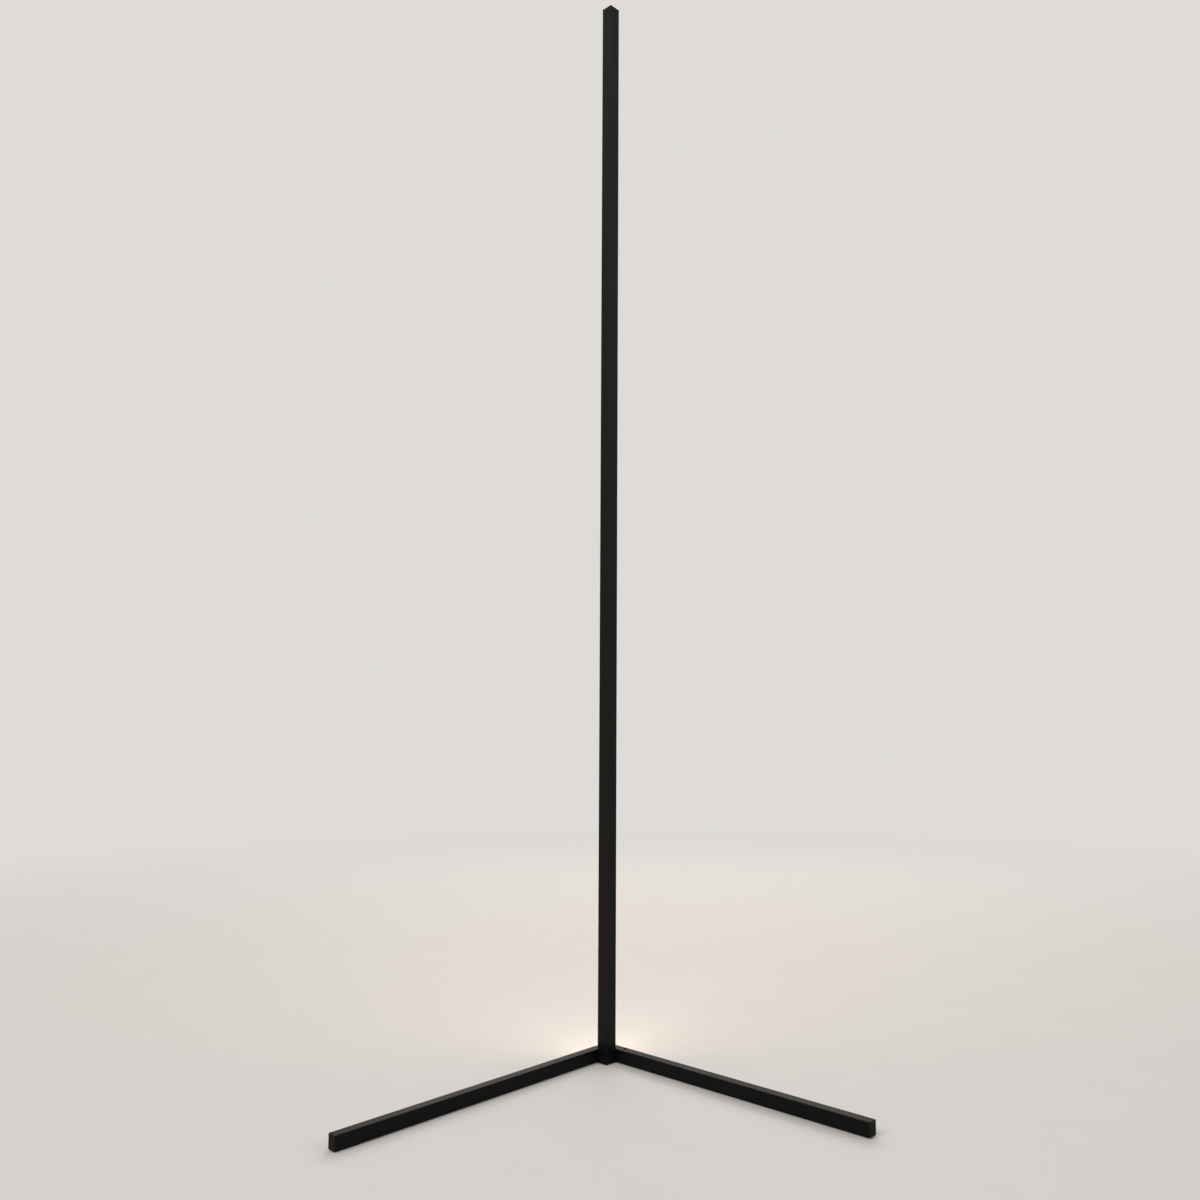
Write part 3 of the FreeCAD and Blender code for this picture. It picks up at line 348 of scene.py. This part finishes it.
def lit_opal():
    """The opal cover with the lamp on: warm light, brightest before each chip and down the middle."""
    side_begins = 0.4
    fade_between_chips = 0.12
    material, tree, shader = new_material("lit opal cover")
    surface = placed(tree, GRAIN, grain=900.0, least_gloss=0.42, most_gloss=0.34)
    tone = blend(tree, surface["Tone"], colour(0.50, 0.49, 0.47), colour(0.56, 0.55, 0.53))
    tree.links.new(tone, shader.inputs["Base Color"])
    tree.links.new(surface["Roughness"], shader.inputs["Roughness"])
    rough_up(tree, shader, surface["Height"], 0.03 * MM, strength=0.3)
    axes = axes_of(tree, object_place(tree))
    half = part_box("diffuser")[1].x
    to_side = stretch(tree, figure(tree, "ABSOLUTE", axes["X"]), side_begins * half, half)
    low, high = LED_BOXES[0]
    along = figure(tree, "SUBTRACT", axes["Z"], (low.z + high.z) / 2)
    from_chip = figure(tree, "PINGPONG", along, CHIP_PITCH / 2)
    between_chips = stretch(tree, from_chip, 0.0, CHIP_PITCH / 2, 0.0, fade_between_chips)
    shade = figure(tree, "MINIMUM", figure(tree, "ADD", to_side, between_chips), 1.0)
    glow = blend(tree, shade, colour(*GLOW_MIDDLE), colour(*GLOW_SIDES))
    tree.links.new(glow, shader.inputs["Emission Color"])
    shader.inputs["Emission Strength"].default_value = GLOW_STRENGTH
    return material


def strip_board():
    """The strip's white board, with a pair of bare copper pads where each section ends."""
    pad_offset = 2.5 * MM
    pad_half_width = 1.1 * MM
    pad_half_length = 1.6 * MM
    material, tree, shader = new_material("white strip board")
    surface = placed(tree, GRAIN, grain=700.0, least_gloss=0.36, most_gloss=0.26)
    mask = blend(tree, surface["Tone"], colour(0.72, 0.72, 0.69), colour(0.80, 0.80, 0.77))
    axes = axes_of(tree, object_place(tree))
    from_end = figure(tree, "SUBTRACT", axes["Z"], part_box("led_strip")[0].z)
    at_cut = figure(tree, "LESS_THAN", figure(tree, "PINGPONG", from_end, SECTION / 2), pad_half_length)
    beside = figure(tree, "COMPARE", figure(tree, "ABSOLUTE", axes["X"]), pad_offset, pad_half_width)
    pad = product(tree, at_cut, beside)
    tree.links.new(blend(tree, pad, mask, colour(0.72, 0.40, 0.20)), shader.inputs["Base Color"])
    tree.links.new(pad, shader.inputs["Metallic"])
    tree.links.new(surface["Roughness"], shader.inputs["Roughness"])
    rough_up(tree, shader, surface["Height"], 0.02 * MM, strength=0.3)
    return material


def green_board():
    """The dimmer's board: green solder mask over long traces, with a row of tinned holes along each edge,
    the middle of each hole painted near-black as its shade.
    """
    hole_pitch = 2.54 * MM
    hole_radius = 0.20 * MM
    ring_radius = 0.45 * MM
    row_inset = 0.8 * MM
    material, tree, shader = new_material("green solder mask")
    surface = placed(tree, GRAIN, grain=600.0, least_gloss=0.32, most_gloss=0.20)
    plain = blend(tree, surface["Tone"], colour(0.006, 0.055, 0.022), colour(0.010, 0.072, 0.030))
    place = object_place(tree, turn=-BASE_TURN)
    traces = add(tree, "ShaderNodeTexBrick", offset=0.31, squash=0.6, squash_frequency=3)
    sizes = {"Scale": 1.0, "Mortar Size": 0.14 * MM, "Brick Width": 17.0 * MM, "Row Height": 0.9 * MM}
    for label, size in sizes.items():
        traces.inputs[label].default_value = size
    tree.links.new(place, traces.inputs["Vector"])
    tone = blend(tree, traces.outputs["Fac"], plain, colour(0.018, 0.115, 0.048))
    axes = axes_of(tree, place)
    along = figure(tree, "PINGPONG", axes["X"], hole_pitch / 2)
    from_middle = figure(tree, "SUBTRACT", axes["Y"], (BOARD_LOW.y + BOARD_HIGH.y) / 2)
    row = (BOARD_HIGH.y - BOARD_LOW.y) / 2 - row_inset
    across = figure(tree, "SUBTRACT", figure(tree, "ABSOLUTE", from_middle), row)
    squares = figure(tree, "ADD", product(tree, along, along), product(tree, across, across))
    away = figure(tree, "SQRT", squares)
    ring = figure(tree, "LESS_THAN", away, ring_radius)
    # The middle of each ring is painted near-black: painted shade where the hole goes through
    painted_hole_shade = figure(tree, "LESS_THAN", away, hole_radius)
    tone = blend(tree, ring, tone, colour(0.62, 0.60, 0.55))
    tree.links.new(blend(tree, painted_hole_shade, tone, colour(0.01, 0.01, 0.01)), shader.inputs["Base Color"])
    tree.links.new(figure(tree, "SUBTRACT", ring, painted_hole_shade), shader.inputs["Metallic"])
    tree.links.new(surface["Roughness"], shader.inputs["Roughness"])
    rough_up(tree, shader, traces.outputs["Fac"], 0.04 * MM)
    return material


FINISHES = {
    "black_powder_coat": grained(
        "black powder coat",
        tones=((0.0034, 0.0031, 0.0030), (0.0068, 0.0063, 0.0060)),
        gloss=(0.56, 0.42),
        grain=1300.0,
        depth=0.12 * MM,
        specular=0.08,
        dust=0.03,
        # How strongly its edges are painted lighter: a painted sheen
        edge_sheen=0.5,
    ),
    "black_anodised": black_anodised(),
    "black_plastic": grained(
        "black moulded plastic",
        tones=grey(0.004, 0.008),
        gloss=(0.60, 0.46),
        grain=1700.0,
        depth=0.05 * MM,
        specular=0.03,
        dust=0.03,
    ),
    "opal_plastic": lit_opal(),
    "rubber_pad": grained(
        "black rubber",
        tones=grey(0.014, 0.024),
        gloss=(0.92, 0.76),
        grain=800.0,
        depth=0.15 * MM,
        specular=0.2,
    ),
    "dark_screw": grained(
        "black oxide steel",
        tones=((0.018, 0.018, 0.020), (0.042, 0.041, 0.043)),
        gloss=(0.44, 0.28),
        grain=2200.0,
        depth=0.03 * MM,
        metallic=0.85,
    ),
    "white_board": strip_board(),
    "led_phosphor": grained(
        "yellow phosphor",
        tones=((0.88, 0.58, 0.09), (0.95, 0.70, 0.17)),
        gloss=(0.5, 0.35),
        grain=3000.0,
        depth=0.03 * MM,
    ),
    "green_board": green_board(),
    "component_black": grained(
        "chip moulding",
        tones=grey(0.013, 0.024),
        gloss=(0.62, 0.5),
        grain=1800.0,
        depth=0.05 * MM,
        specular=0.35,
    ),
    "bright_metal": grained(
        "bright plated metal",
        tones=grey(0.58, 0.72),
        gloss=(0.32, 0.18),
        grain=1500.0,
        depth=0.02 * MM,
        metallic=1.0,
    ),
    "red_insulation": grained(
        "red insulation",
        tones=((0.40, 0.018, 0.018), (0.55, 0.03, 0.03)),
        gloss=(0.45, 0.35),
        grain=900.0,
        depth=0.03 * MM,
    ),
    "black_insulation": grained(
        "black insulation", tones=grey(0.012, 0.020), gloss=(0.45, 0.35), grain=900.0, depth=0.03 * MM
    ),
    "switch_grey": grained(
        "grey switch case", tones=grey(0.15, 0.21), gloss=(0.5, 0.4), grain=900.0, depth=0.04 * MM
    ),
}
PACKAGE = grained(
    "white chip package", tones=grey(0.73, 0.83), gloss=(0.5, 0.4), grain=1500.0, depth=0.03 * MM
)
SOLDER = grained(
    "solder", tones=grey(0.46, 0.62), gloss=(0.42, 0.25), grain=1800.0, depth=0.04 * MM, metallic=1.0
)
CERAMIC = grained(
    "dark ceramic", tones=grey(0.020, 0.034), gloss=(0.5, 0.36), grain=1600.0, depth=0.03 * MM
)
COPPER = grained(
    "enamelled copper wire",
    tones=((0.42, 0.13, 0.045), (0.62, 0.22, 0.08)),
    gloss=(0.42, 0.25),
    grain=1200.0,
    depth=0.02 * MM,
    metallic=0.9,
)


# ---------------------------------------------------------------------------------- tools for pieces


def only(piece):
    """Select one piece and nothing else, in object mode."""
    if bpy.context.object and bpy.context.object.mode != "OBJECT":
        bpy.ops.object.mode_set(mode="OBJECT")
    bpy.ops.object.select_all(action="DESELECT")
    piece.select_set(True)
    bpy.context.view_layer.objects.active = piece


def modified(piece, kind, **settings):
    """A modifier, set up and applied."""
    only(piece)
    modifier = piece.modifiers.new("shape", kind)
    for name, setting in settings.items():
        setattr(modifier, name, setting)
    bpy.ops.object.modifier_apply(modifier=modifier.name)


def shaded(piece, crease=CREASE):
    """Smooth shading up to the creases, in which the large flat faces stay flat."""
    only(piece)
    bpy.ops.object.shade_smooth_by_angle(angle=crease)
    modified(piece, "WEIGHTED_NORMAL", keep_sharp=True, weight=100)


def softened(piece, width):
    """Its sharp edges rounded, with what this leaves of no width taken out."""
    modified(piece, "BEVEL", width=width, segments=2, limit_method="ANGLE", angle_limit=CREASE)
    bpy.ops.object.mode_set(mode="EDIT")
    bpy.ops.mesh.select_all(action="SELECT")
    bpy.ops.mesh.remove_doubles(threshold=MERGE)
    bpy.ops.mesh.dissolve_degenerate(threshold=MERGE)
    shaded(piece)


def block(name, low, high):
    """A block between two corners."""
    bpy.ops.object.select_all(action="DESELECT")
    bpy.ops.mesh.primitive_cube_add(size=1.0, location=(Vector(low) + Vector(high)) / 2)
    piece = bpy.context.object
    piece.name = name
    piece.scale = [top - bottom for bottom, top in zip(low, high)]
    bpy.ops.object.transform_apply(location=True, rotation=True, scale=True)
    return piece


def pick_faces(piece, test):
    """Into edit mode, with only the faces selected for whose middle and direction the test holds."""
    only(piece)
    bpy.ops.object.mode_set(mode="EDIT")
    bpy.ops.mesh.select_mode(type="FACE")
    bpy.ops.mesh.select_all(action="DESELECT")
    mesh = bmesh.from_edit_mesh(piece.data)
    for face in mesh.faces:
        face.select_set(test(face.calc_center_median(), face.normal))
    bmesh.update_edit_mesh(piece.data)


def leave(piece):
    """Back to object mode."""
    bpy.ops.object.mode_set(mode="OBJECT")
    return piece


def cut_across(piece, axis, places):
    """Divide a piece's faces with planes square to an axis, at places along it."""
    only(piece)
    bpy.ops.object.mode_set(mode="EDIT")
    direction = Vector([float(number == axis) for number in range(3)])
    for place in places:
        bpy.ops.mesh.select_all(action="SELECT")
        bpy.ops.mesh.bisect(plane_co=direction * place, plane_no=direction, threshold=MERGE)
    return leave(piece)


def ring_moved(piece, axis_place, height, reach, depth):
    """Move the ring of points at a height, within reach of an upright axis, towards it by a depth."""
    only(piece)
    bpy.ops.object.mode_set(mode="EDIT")
    bpy.ops.mesh.select_mode(type="VERT")
    bpy.ops.mesh.select_all(action="DESELECT")
    mesh = bmesh.from_edit_mesh(piece.data)
    distance = 0.0
    for vertex in mesh.verts:
        away = (vertex.co - axis_place).to_2d().length
        if abs(vertex.co.z - height) < MERGE and away < reach:
            vertex.select_set(True)
            distance = max(distance, away)
    mesh.select_flush_mode()
    bmesh.update_edit_mesh(piece.data)
    size = 1.0 - depth / distance
    centre = (axis_place.x, axis_place.y, height)
    bpy.ops.transform.resize(value=(size, size, 1.0), center_override=centre)
    return leave(piece)


def painted(piece, finish, test):
    """Give the faces for which the test holds another finish."""
    piece.data.materials.append(finish)
    for face in piece.data.polygons:
        if test(face.center, face.normal):
            face.material_index = len(piece.data.materials) - 1


def finished_as(piece, node):
    """A node's own finish as a piece's first."""
    piece.data.materials.clear()
    piece.data.materials.append(FINISHES[SLOT_OF[node]])
    return piece


def copy_of(node, name, turn=LAMP):
    """A copy of a CAD node as closed solids with whole flat faces, in the lamp's frame or the base's."""
    piece = bpy.data.objects.new(name, frame["nodes"][node].data.copy())
    bpy.context.scene.collection.objects.link(piece)
    finished_as(piece, node)
    piece.data.transform(turn.inverted())
    only(piece)
    bpy.ops.object.mode_set(mode="EDIT")
    bpy.ops.mesh.customdata_custom_splitnormals_clear()
    bpy.ops.mesh.select_all(action="SELECT")
    bpy.ops.mesh.remove_doubles(threshold=MERGE)
    bpy.ops.mesh.dissolve_limited(angle_limit=math.radians(0.5))
    return leave(piece)


def joined(pieces):
    """All the pieces as one, named as the first."""
    only(pieces[0])
    for piece in pieces:
        piece.select_set(True)
    bpy.ops.object.join()
    return pieces[0]


def copied(piece, boxes):
    """A piece that was modelled in the first box, with a copy in each of the others, joined as one."""
    pieces = [piece]
    for low, high in boxes[1:]:
        twin = piece.copy()
        twin.data = piece.data.copy()
        twin.data.transform(Matrix.Translation(low - boxes[0][0]))
        bpy.context.scene.collection.objects.link(twin)
        pieces.append(twin)
    return joined(pieces)


def dress(piece, node, turn=LAMP):
    """Turn a finished piece out of the frame that it was made in, and put it in the place of a node."""
    piece.data.transform(turn)
    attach(piece, BODY_OF[node])
    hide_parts(node)


# A leg's sheet metal, how far it is buried in the case, and its level, sloping and flat stretches
LEG_THICKNESS = 0.2 * MM
LEG_BURIED = 0.1 * MM
LEG_LEVEL = 0.25 * MM
LEG_SLOPE = 0.2 * MM
LEG_SOLE = 0.3 * MM


def bent_leg(name, start, outward, width, bottom):
    """A flat metal leg that leaves a case at a point, slopes down and ends flat at the bottom."""
    out = Vector(outward)
    half = Vector((abs(out.y), abs(out.x), 0.0)) * width / 2 + Vector((0.0, 0.0, LEG_THICKNESS / 2))
    leg = block(name, *box_of((start - out * LEG_BURIED - half, start + out * LEG_LEVEL + half)))
    leg.data.materials.append(SOLDER)
    drop = Vector((0.0, 0.0, start.z - bottom - LEG_THICKNESS / 2))
    pick_faces(leg, lambda place, normal: normal.dot(out) > 0.9)
    for move in (out * LEG_SLOPE - drop, out * LEG_SOLE):
        bpy.ops.mesh.extrude_region_move()
        bpy.ops.transform.translate(value=move)
    return leave(leg)


# ---------------------------------------------------------------------------------- the mast and the base


# How wide the rounded edges are, in millimetres, of each piece that needs nothing else
EDGE_WIDTHS = {
    "mast_profile": 0.12,
    "top_cap": 0.10,
    "diffuser": 0.10,
    "left_foot": 0.12,
    "right_foot": 0.12,
    "corner_connector": 0.15,
    "foot_screws": 0.12,
    "mast_screws": 0.08,
    "bay_cover": 0.15,
    "bay_cover_screws": 0.06,
    "inlet_pin": 0.06,
    "dimmer_board": 0.05,
    "led_strip": 0.04,
    "switch_plunger": 0.08,
}


def edges_rounded():
    """The pieces whose own shape is right, with their machined or moulded edges rounded."""
    for node, width in EDGE_WIDTHS.items():
        piece = copy_of(node, f"{node}_finished")
        softened(piece, width * MM)
        dress(piece, node)


def floor_pads():
    """The rubber pads, with a raised rim round the underside of each."""
    rim = 0.9 * MM
    hollow = 0.25 * MM
    piece = copy_of("floor_pads", "floor_pads_rimmed")
    pick_faces(piece, lambda place, normal: normal.z < -0.99 and place.z < FLUSH)
    bpy.ops.mesh.inset(thickness=rim)
    bpy.ops.mesh.inset(thickness=hollow, depth=-hollow)
    leave(piece)
    softened(piece, 0.12 * MM)
    dress(piece, "floor_pads")


# ---------------------------------------------------------------------------------- button, switch and inlet


def power_button():
    """The button, with a shallow dish in its top for a fingertip."""
    piece = copy_of("power_button", "power_button_dished")
    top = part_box("power_button")[1].z
    pick_faces(piece, lambda place, normal: normal.z > 0.99 and place.z > top - FLUSH)
    # The rings of the dish from its rim in: how wide each is and how far it goes down, in millimetres
    for width, depth in ((0.35, 0.0), (0.45, 0.10), (0.45, 0.04)):
        bpy.ops.mesh.inset(thickness=width * MM, depth=-depth * MM)
    leave(piece)
    softened(piece, 0.08 * MM)
    dress(piece, "power_button")


def switch_body():
    """The switch: a grey case under a steel cover plate, on four legs."""
    plate_inset = 0.25 * MM
    leg_height = 0.9 * MM
    leg_width = 0.6 * MM
    low, high = solid_boxes("switch_body", BASE)[0]
    piece = copy_of("switch_body", "switch_body_detailed", BASE)

    def on_top(place, normal):
        return normal.z > 0.99 and place.z > high.z - FLUSH

    pick_faces(piece, on_top)
    bpy.ops.mesh.inset(thickness=plate_inset)
    leave(piece)
    painted(piece, FINISHES["bright_metal"], on_top)
    softened(piece, 0.06 * MM)
    legs = []
    for side, edge in ((-1.0, low.x), (1.0, high.x)):
        for share in (0.2, 0.8):
            start = Vector((edge, low.y + share * (high.y - low.y), low.z + leg_height))
            legs.append(bent_leg("switch_leg", start, (side, 0.0, 0.0), leg_width, low.z))
    dress(joined([piece, *legs]), "switch_body", BASE)


def power_inlet():
    """The inlet's black case, with the bent spring contact on the floor of its socket."""
    bore_radius = 2.8 * MM
    # The leaf contact, whose ends lie this far behind the socket's mouth
    leaf_ends = (8.9 * MM, 2.0 * MM)
    leaf_width = 1.6 * MM
    leaf_thickness = 0.2 * MM
    leaf_rise = 0.4 * MM
    mouth = solid_boxes("power_inlet", BASE)[0][1].y
    low, high = solid_boxes("inlet_pin", BASE)[0]
    middle = (low + high) / 2
    piece = copy_of("power_inlet", "power_inlet_finished", BASE)
    softened(piece, 0.10 * MM)
    bottom = middle.z - bore_radius + FLUSH
    back, front = (mouth - end for end in leaf_ends)
    contact = block(
        "inlet_contact",
        (middle.x - leaf_width / 2, back, bottom),
        (middle.x + leaf_width / 2, front, bottom + leaf_thickness),
    )
    contact.data.materials.append(FINISHES["bright_metal"])
    bends = [back + share * (front - back) for share in (0.3, 0.5, 0.7, 0.9)]
    cut_across(contact, 1, bends)
    pick_faces(contact, lambda place, normal: bends[1] < place.y < bends[2])
    bpy.ops.transform.translate(value=(0.0, 0.0, leaf_rise))
    leave(contact)
    softened(contact, 0.04 * MM)
    dress(joined([piece, contact]), "power_inlet", BASE)


# ---------------------------------------------------------------------------------- the light strip


def led_chips():
    """The strip's chips: a white package whose cup is filled with yellow phosphor."""
    rim = 0.32 * MM
    cup_slope = 0.18 * MM
    cup_depth = 0.16 * MM
    cup_reach = 0.5 * MM
    low, high = LED_BOXES[0]
    middle = (low + high) / 2
    piece = finished_as(block("led_chips_packaged", low, high), "led_chips")
    pick_faces(piece, lambda place, normal: normal.y > 0.9)
    bpy.ops.mesh.inset(thickness=rim)
    bpy.ops.mesh.inset(thickness=cup_slope, depth=-cup_depth)
    leave(piece)

    def outside_cup(place, normal):
        return normal.y < 0.9 or (place - middle).xz.length > cup_reach

    painted(piece, PACKAGE, outside_cup)
    dress(copied(piece, LED_BOXES), "led_chips")


def chip_resistors(node, turn, lengthwise):
    """Small resistors: a dark ceramic body between two soldered ends."""
    boxes = solid_boxes(node, turn)
    low, high = boxes[0]
    piece = finished_as(block(f"{node}_detailed", low, high), node)
    middle = (low[lengthwise] + high[lengthwise]) / 2
    solder_share = 0.22
    bare_half = (0.5 - solder_share) * (high - low)[lengthwise]
    cut_across(piece, lengthwise, (middle - bare_half, middle + bare_half))
    painted(piece, CERAMIC, lambda place, normal: abs(place[lengthwise] - middle) < bare_half)
    painted(piece, SOLDER, lambda place, normal: abs(place[lengthwise] - middle) >= bare_half)
    dress(copied(piece, boxes), node, turn)


# ---------------------------------------------------------------------------------- the dimmer's board


def dimmer_chip():
    """The dimmer's chip on its eight bent legs."""
    legs_a_side = 4
    leg_width = 0.4 * MM
    low, high = solid_boxes("dimmer_chip", BASE)[0]
    piece = copy_of("dimmer_chip", "dimmer_chip_legged", BASE)
    softened(piece, 0.10 * MM)
    step = (high.x - low.x) / legs_a_side
    knee = (low.z + high.z) / 2
    legs = []
    for side, edge in ((-1.0, low.y), (1.0, high.y)):
        for number in range(legs_a_side):
            start = Vector((low.x + (number + 0.5) * step, edge, knee))
            legs.append(bent_leg("chip_leg", start, (0.0, side, 0.0), leg_width, low.z))
    dress(joined([piece, *legs]), "dimmer_chip", BASE)


def power_inductor():
    """The inductor: a dark ferrite drum wound with turns of copper wire."""
    flange = 0.7 * MM
    wire = 0.25 * MM
    # How deep the winding's surface lies at each quarter of a turn, from one groove on, in wires
    groove_depths = (0.34, 0.09, 0.0, 0.09)
    low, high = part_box("power_inductor")
    axis = (low + high) / 2
    piece = copy_of("power_inductor", "power_inductor_wound")
    softened(piece, 0.10 * MM)
    # What is nearer to the axis than this is the winding, and not a flange's edge
    reach = (high.x - low.x) / 2 - 0.2 * MM
    bottom = low.z + flange
    top = high.z - flange
    turns = round((top - bottom) / wire)
    quarter = (top - bottom) / turns / 4
    cuts = [bottom + number * quarter for number in range(1, 4 * turns)]
    cut_across(piece, 2, cuts)
    for number, height in enumerate(cuts, 1):
        depth = groove_depths[number % 4]
        if depth:
            ring_moved(piece, axis, height, reach, depth * wire)

    def wound(place, normal):
        return bottom < place.z < top and (place - axis).to_2d().length < reach

    painted(piece, COPPER, wound)
    shaded(piece, crease=math.radians(50))
    dress(piece, "power_inductor")


def board_capacitor():
    """The capacitor: a bright can in a black sleeve, which leaves the middle of its top bare."""
    lip = 0.20 * MM
    step = 0.10 * MM
    step_depth = 0.08 * MM
    low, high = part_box("board_capacitor")
    axis = (low + high) / 2
    bare_radius = (high.x - low.x) / 2 - 0.55 * MM
    piece = copy_of("board_capacitor", "board_capacitor_sleeved")
    pick_faces(piece, lambda place, normal: normal.z > 0.99 and place.z > high.z - FLUSH)
    bpy.ops.mesh.inset(thickness=lip)
    bpy.ops.mesh.inset(thickness=step, depth=-step_depth)
    leave(piece)

    def sleeved(place, normal):
        near_top = place.z > high.z - step_depth - FLUSH
        on_bare_top = near_top and (place - axis).to_2d().length < bare_radius
        return not on_bare_top and place.z > low.z + FLUSH

    painted(piece, FINISHES["black_insulation"], sleeved)
    softened(piece, 0.05 * MM)
    dress(piece, "board_capacitor")


def lead(node):
    """A lead in round insulation, whose square ends a fine bevel holds while the rest is smoothed."""
    piece = copy_of(node, f"{node}_round")
    ends_only = math.radians(75)
    modified(piece, "BEVEL", width=0.05 * MM, segments=1, limit_method="ANGLE", angle_limit=ends_only)
    modified(piece, "SUBSURF", levels=2, render_levels=2)
    shaded(piece)
    dress(piece, node)


edges_rounded()
floor_pads()
power_button()
switch_body()
power_inlet()
led_chips()
chip_resistors("strip_resistors", LAMP, 2)
chip_resistors("board_resistors", BASE, 0)
dimmer_chip()
power_inductor()
board_capacitor()
lead("red_lead")
lead("black_lead")


# ---------------------------------------------------------------------------------- floor, light and camera

# Where the photograph was taken from, its framing in pixels, and the sensor's width in millimetres
CAMERA_PLACE = Vector((0.0, -1.365, 0.4278))
CAMERA_PITCH = math.radians(6.27)
CAMERA_YAW = math.radians(3.34)
CAMERA_ROLL = math.radians(-0.13)
FOCAL_PIXELS = 1054.1
CENTRE_PIXEL = 669.6
FRAME_PIXELS = 1200
SENSOR = 36.0

BACKGROUND = (0.73, 0.71, 0.685)
BACK_TINT = (1.0, 0.93, 0.85)
WORLD_TINT = (1.0, 0.985, 0.97)
WORLD_STRENGTH = 0.42

# The floor is a disc with a faint cloudiness between two tones
FLOOR_RADIUS = 30.0
FLOOR_SIDES = 96
FLOOR_TONES = ((0.745, 0.722, 0.695), (0.775, 0.752, 0.725))

# How far from the lamp the floor begins to melt into the background, and where it has done so
FLOOR_PLAIN = 0.35
FLOOR_MELTED = 3.0


def seen_directly(tree):
    """One for rays from the camera, mirrored or through glass, and nought for the rays that carry light."""
    path = add(tree, "ShaderNodeLightPath").outputs
    mirrored = figure(tree, "MAXIMUM", path["Is Glossy Ray"], path["Is Transmission Ray"])
    return figure(tree, "MAXIMUM", path["Is Camera Ray"], mirrored)


def pale_floor():
    """A wide pale floor that melts into the background far from the lamp."""
    bpy.ops.object.select_all(action="DESELECT")
    bpy.ops.mesh.primitive_circle_add(vertices=FLOOR_SIDES, radius=FLOOR_RADIUS, fill_type="NGON")
    floor = bpy.context.object
    floor.name = "floor"
    material, tree, shader = new_material("pale floor")
    shader.inputs["Roughness"].default_value = 0.65
    shader.inputs["Specular IOR Level"].default_value = 0.15
    soft = noise(tree, object_place(tree), scale=14.0, detail=4.0)
    tone = blend(tree, soft, colour(*FLOOR_TONES[0]), colour(*FLOOR_TONES[1]))
    tree.links.new(tone, shader.inputs["Base Color"])
    distance = add(tree, "ShaderNodeVectorMath", operation="LENGTH")
    tree.links.new(object_place(tree), distance.inputs[0])
    far = stretch(tree, distance.outputs["Value"], FLOOR_PLAIN, FLOOR_MELTED, how="SMOOTHERSTEP")
    melted = product(tree, far, seen_directly(tree))
    sky = add(tree, "ShaderNodeEmission")
    sky.inputs["Color"].default_value = colour(*BACKGROUND)
    mix = add(tree, "ShaderNodeMixShader")
    tree.links.new(melted, mix.inputs["Fac"])
    tree.links.new(shader.outputs["BSDF"], mix.inputs[1])
    tree.links.new(sky.outputs["Emission"], mix.inputs[2])
    output = next(node for node in tree.nodes if node.type == "OUTPUT_MATERIAL")
    tree.links.new(mix.outputs["Shader"], output.inputs["Surface"])
    floor.data.materials.append(material)


def soft_world():
    """Even light from all round, in front of a pale background."""
    world = bpy.data.worlds.new("studio")
    bpy.context.scene.world = world
    world.use_nodes = True
    tree = world.node_tree
    output = next(node for node in tree.nodes if node.type == "OUTPUT_WORLD")
    light = next(node for node in tree.nodes if node.type == "BACKGROUND")
    light.inputs["Color"].default_value = colour(*WORLD_TINT)
    light.inputs["Strength"].default_value = WORLD_STRENGTH
    seen = add(tree, "ShaderNodeBackground")
    seen.inputs["Color"].default_value = colour(*BACKGROUND)
    mix = add(tree, "ShaderNodeMixShader")
    tree.links.new(seen_directly(tree), mix.inputs["Fac"])
    tree.links.new(light.outputs["Background"], mix.inputs[1])
    tree.links.new(seen.outputs["Background"], mix.inputs[2])
    tree.links.new(mix.outputs["Shader"], output.inputs["Surface"])


def area_light(name, place, aim, size, power, tint=(1.0, 1.0, 1.0)):
    """A rectangular lamp of this many watts at a place, aimed at another, that isn't seen itself."""
    light = bpy.data.lights.new(name, "AREA")
    light.shape = "RECTANGLE"
    light.size, light.size_y = size
    light.energy = power
    light.color = tint
    lamp = bpy.data.objects.new(name, light)
    lamp.location = place
    lamp.rotation_euler = (Vector(aim) - Vector(place)).to_track_quat("-Z", "Y").to_euler()
    lamp.visible_camera = False
    bpy.context.scene.collection.objects.link(lamp)


def strip_light():
    """The light that the opal cover gives, from just behind it, towards +Y."""
    low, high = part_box("diffuser")
    middle = Vector((0.0, high.y + MM, (low.z + high.z) / 2))
    size = (high.x - low.x, high.z - low.z)
    area_light("strip light", middle, middle + Vector((0.0, 1.0, 0.0)), size, power=1.0, tint=LIGHT_TINT)


def photograph_camera():
    """The camera where the photograph was taken, with the photograph's framing."""
    data = bpy.data.cameras.new("camera")
    data.sensor_width = SENSOR
    data.lens = SENSOR * FOCAL_PIXELS / FRAME_PIXELS
    data.shift_x = (FRAME_PIXELS / 2 - CENTRE_PIXEL) / FRAME_PIXELS
    camera = bpy.data.objects.new("camera", data)
    turn = Matrix.Rotation(-CAMERA_YAW, 4, "Z") @ Matrix.Rotation(math.pi / 2 + CAMERA_PITCH, 4, "X")
    camera.matrix_world = Matrix.Translation(CAMERA_PLACE) @ turn @ Matrix.Rotation(CAMERA_ROLL, 4, "Z")
    bpy.context.scene.collection.objects.link(camera)
    bpy.context.scene.camera = camera


pale_floor()
soft_world()
area_light("key", place=(-1.9, -1.7, 2.6), aim=(0.0, 0.0, 0.5), size=(1.6, 1.6), power=40.0)
area_light("fill", place=(2.3, -1.2, 1.6), aim=(0.0, 0.0, 0.5), size=(1.8, 1.8), power=14.0)
area_light("back", place=(0.3, 2.2, 1.6), aim=(0.0, 0.0, 0.1), size=(2.4, 1.2), power=26.0, tint=BACK_TINT)
strip_light()
photograph_camera()
bpy.context.scene.view_settings.view_transform = "Standard"
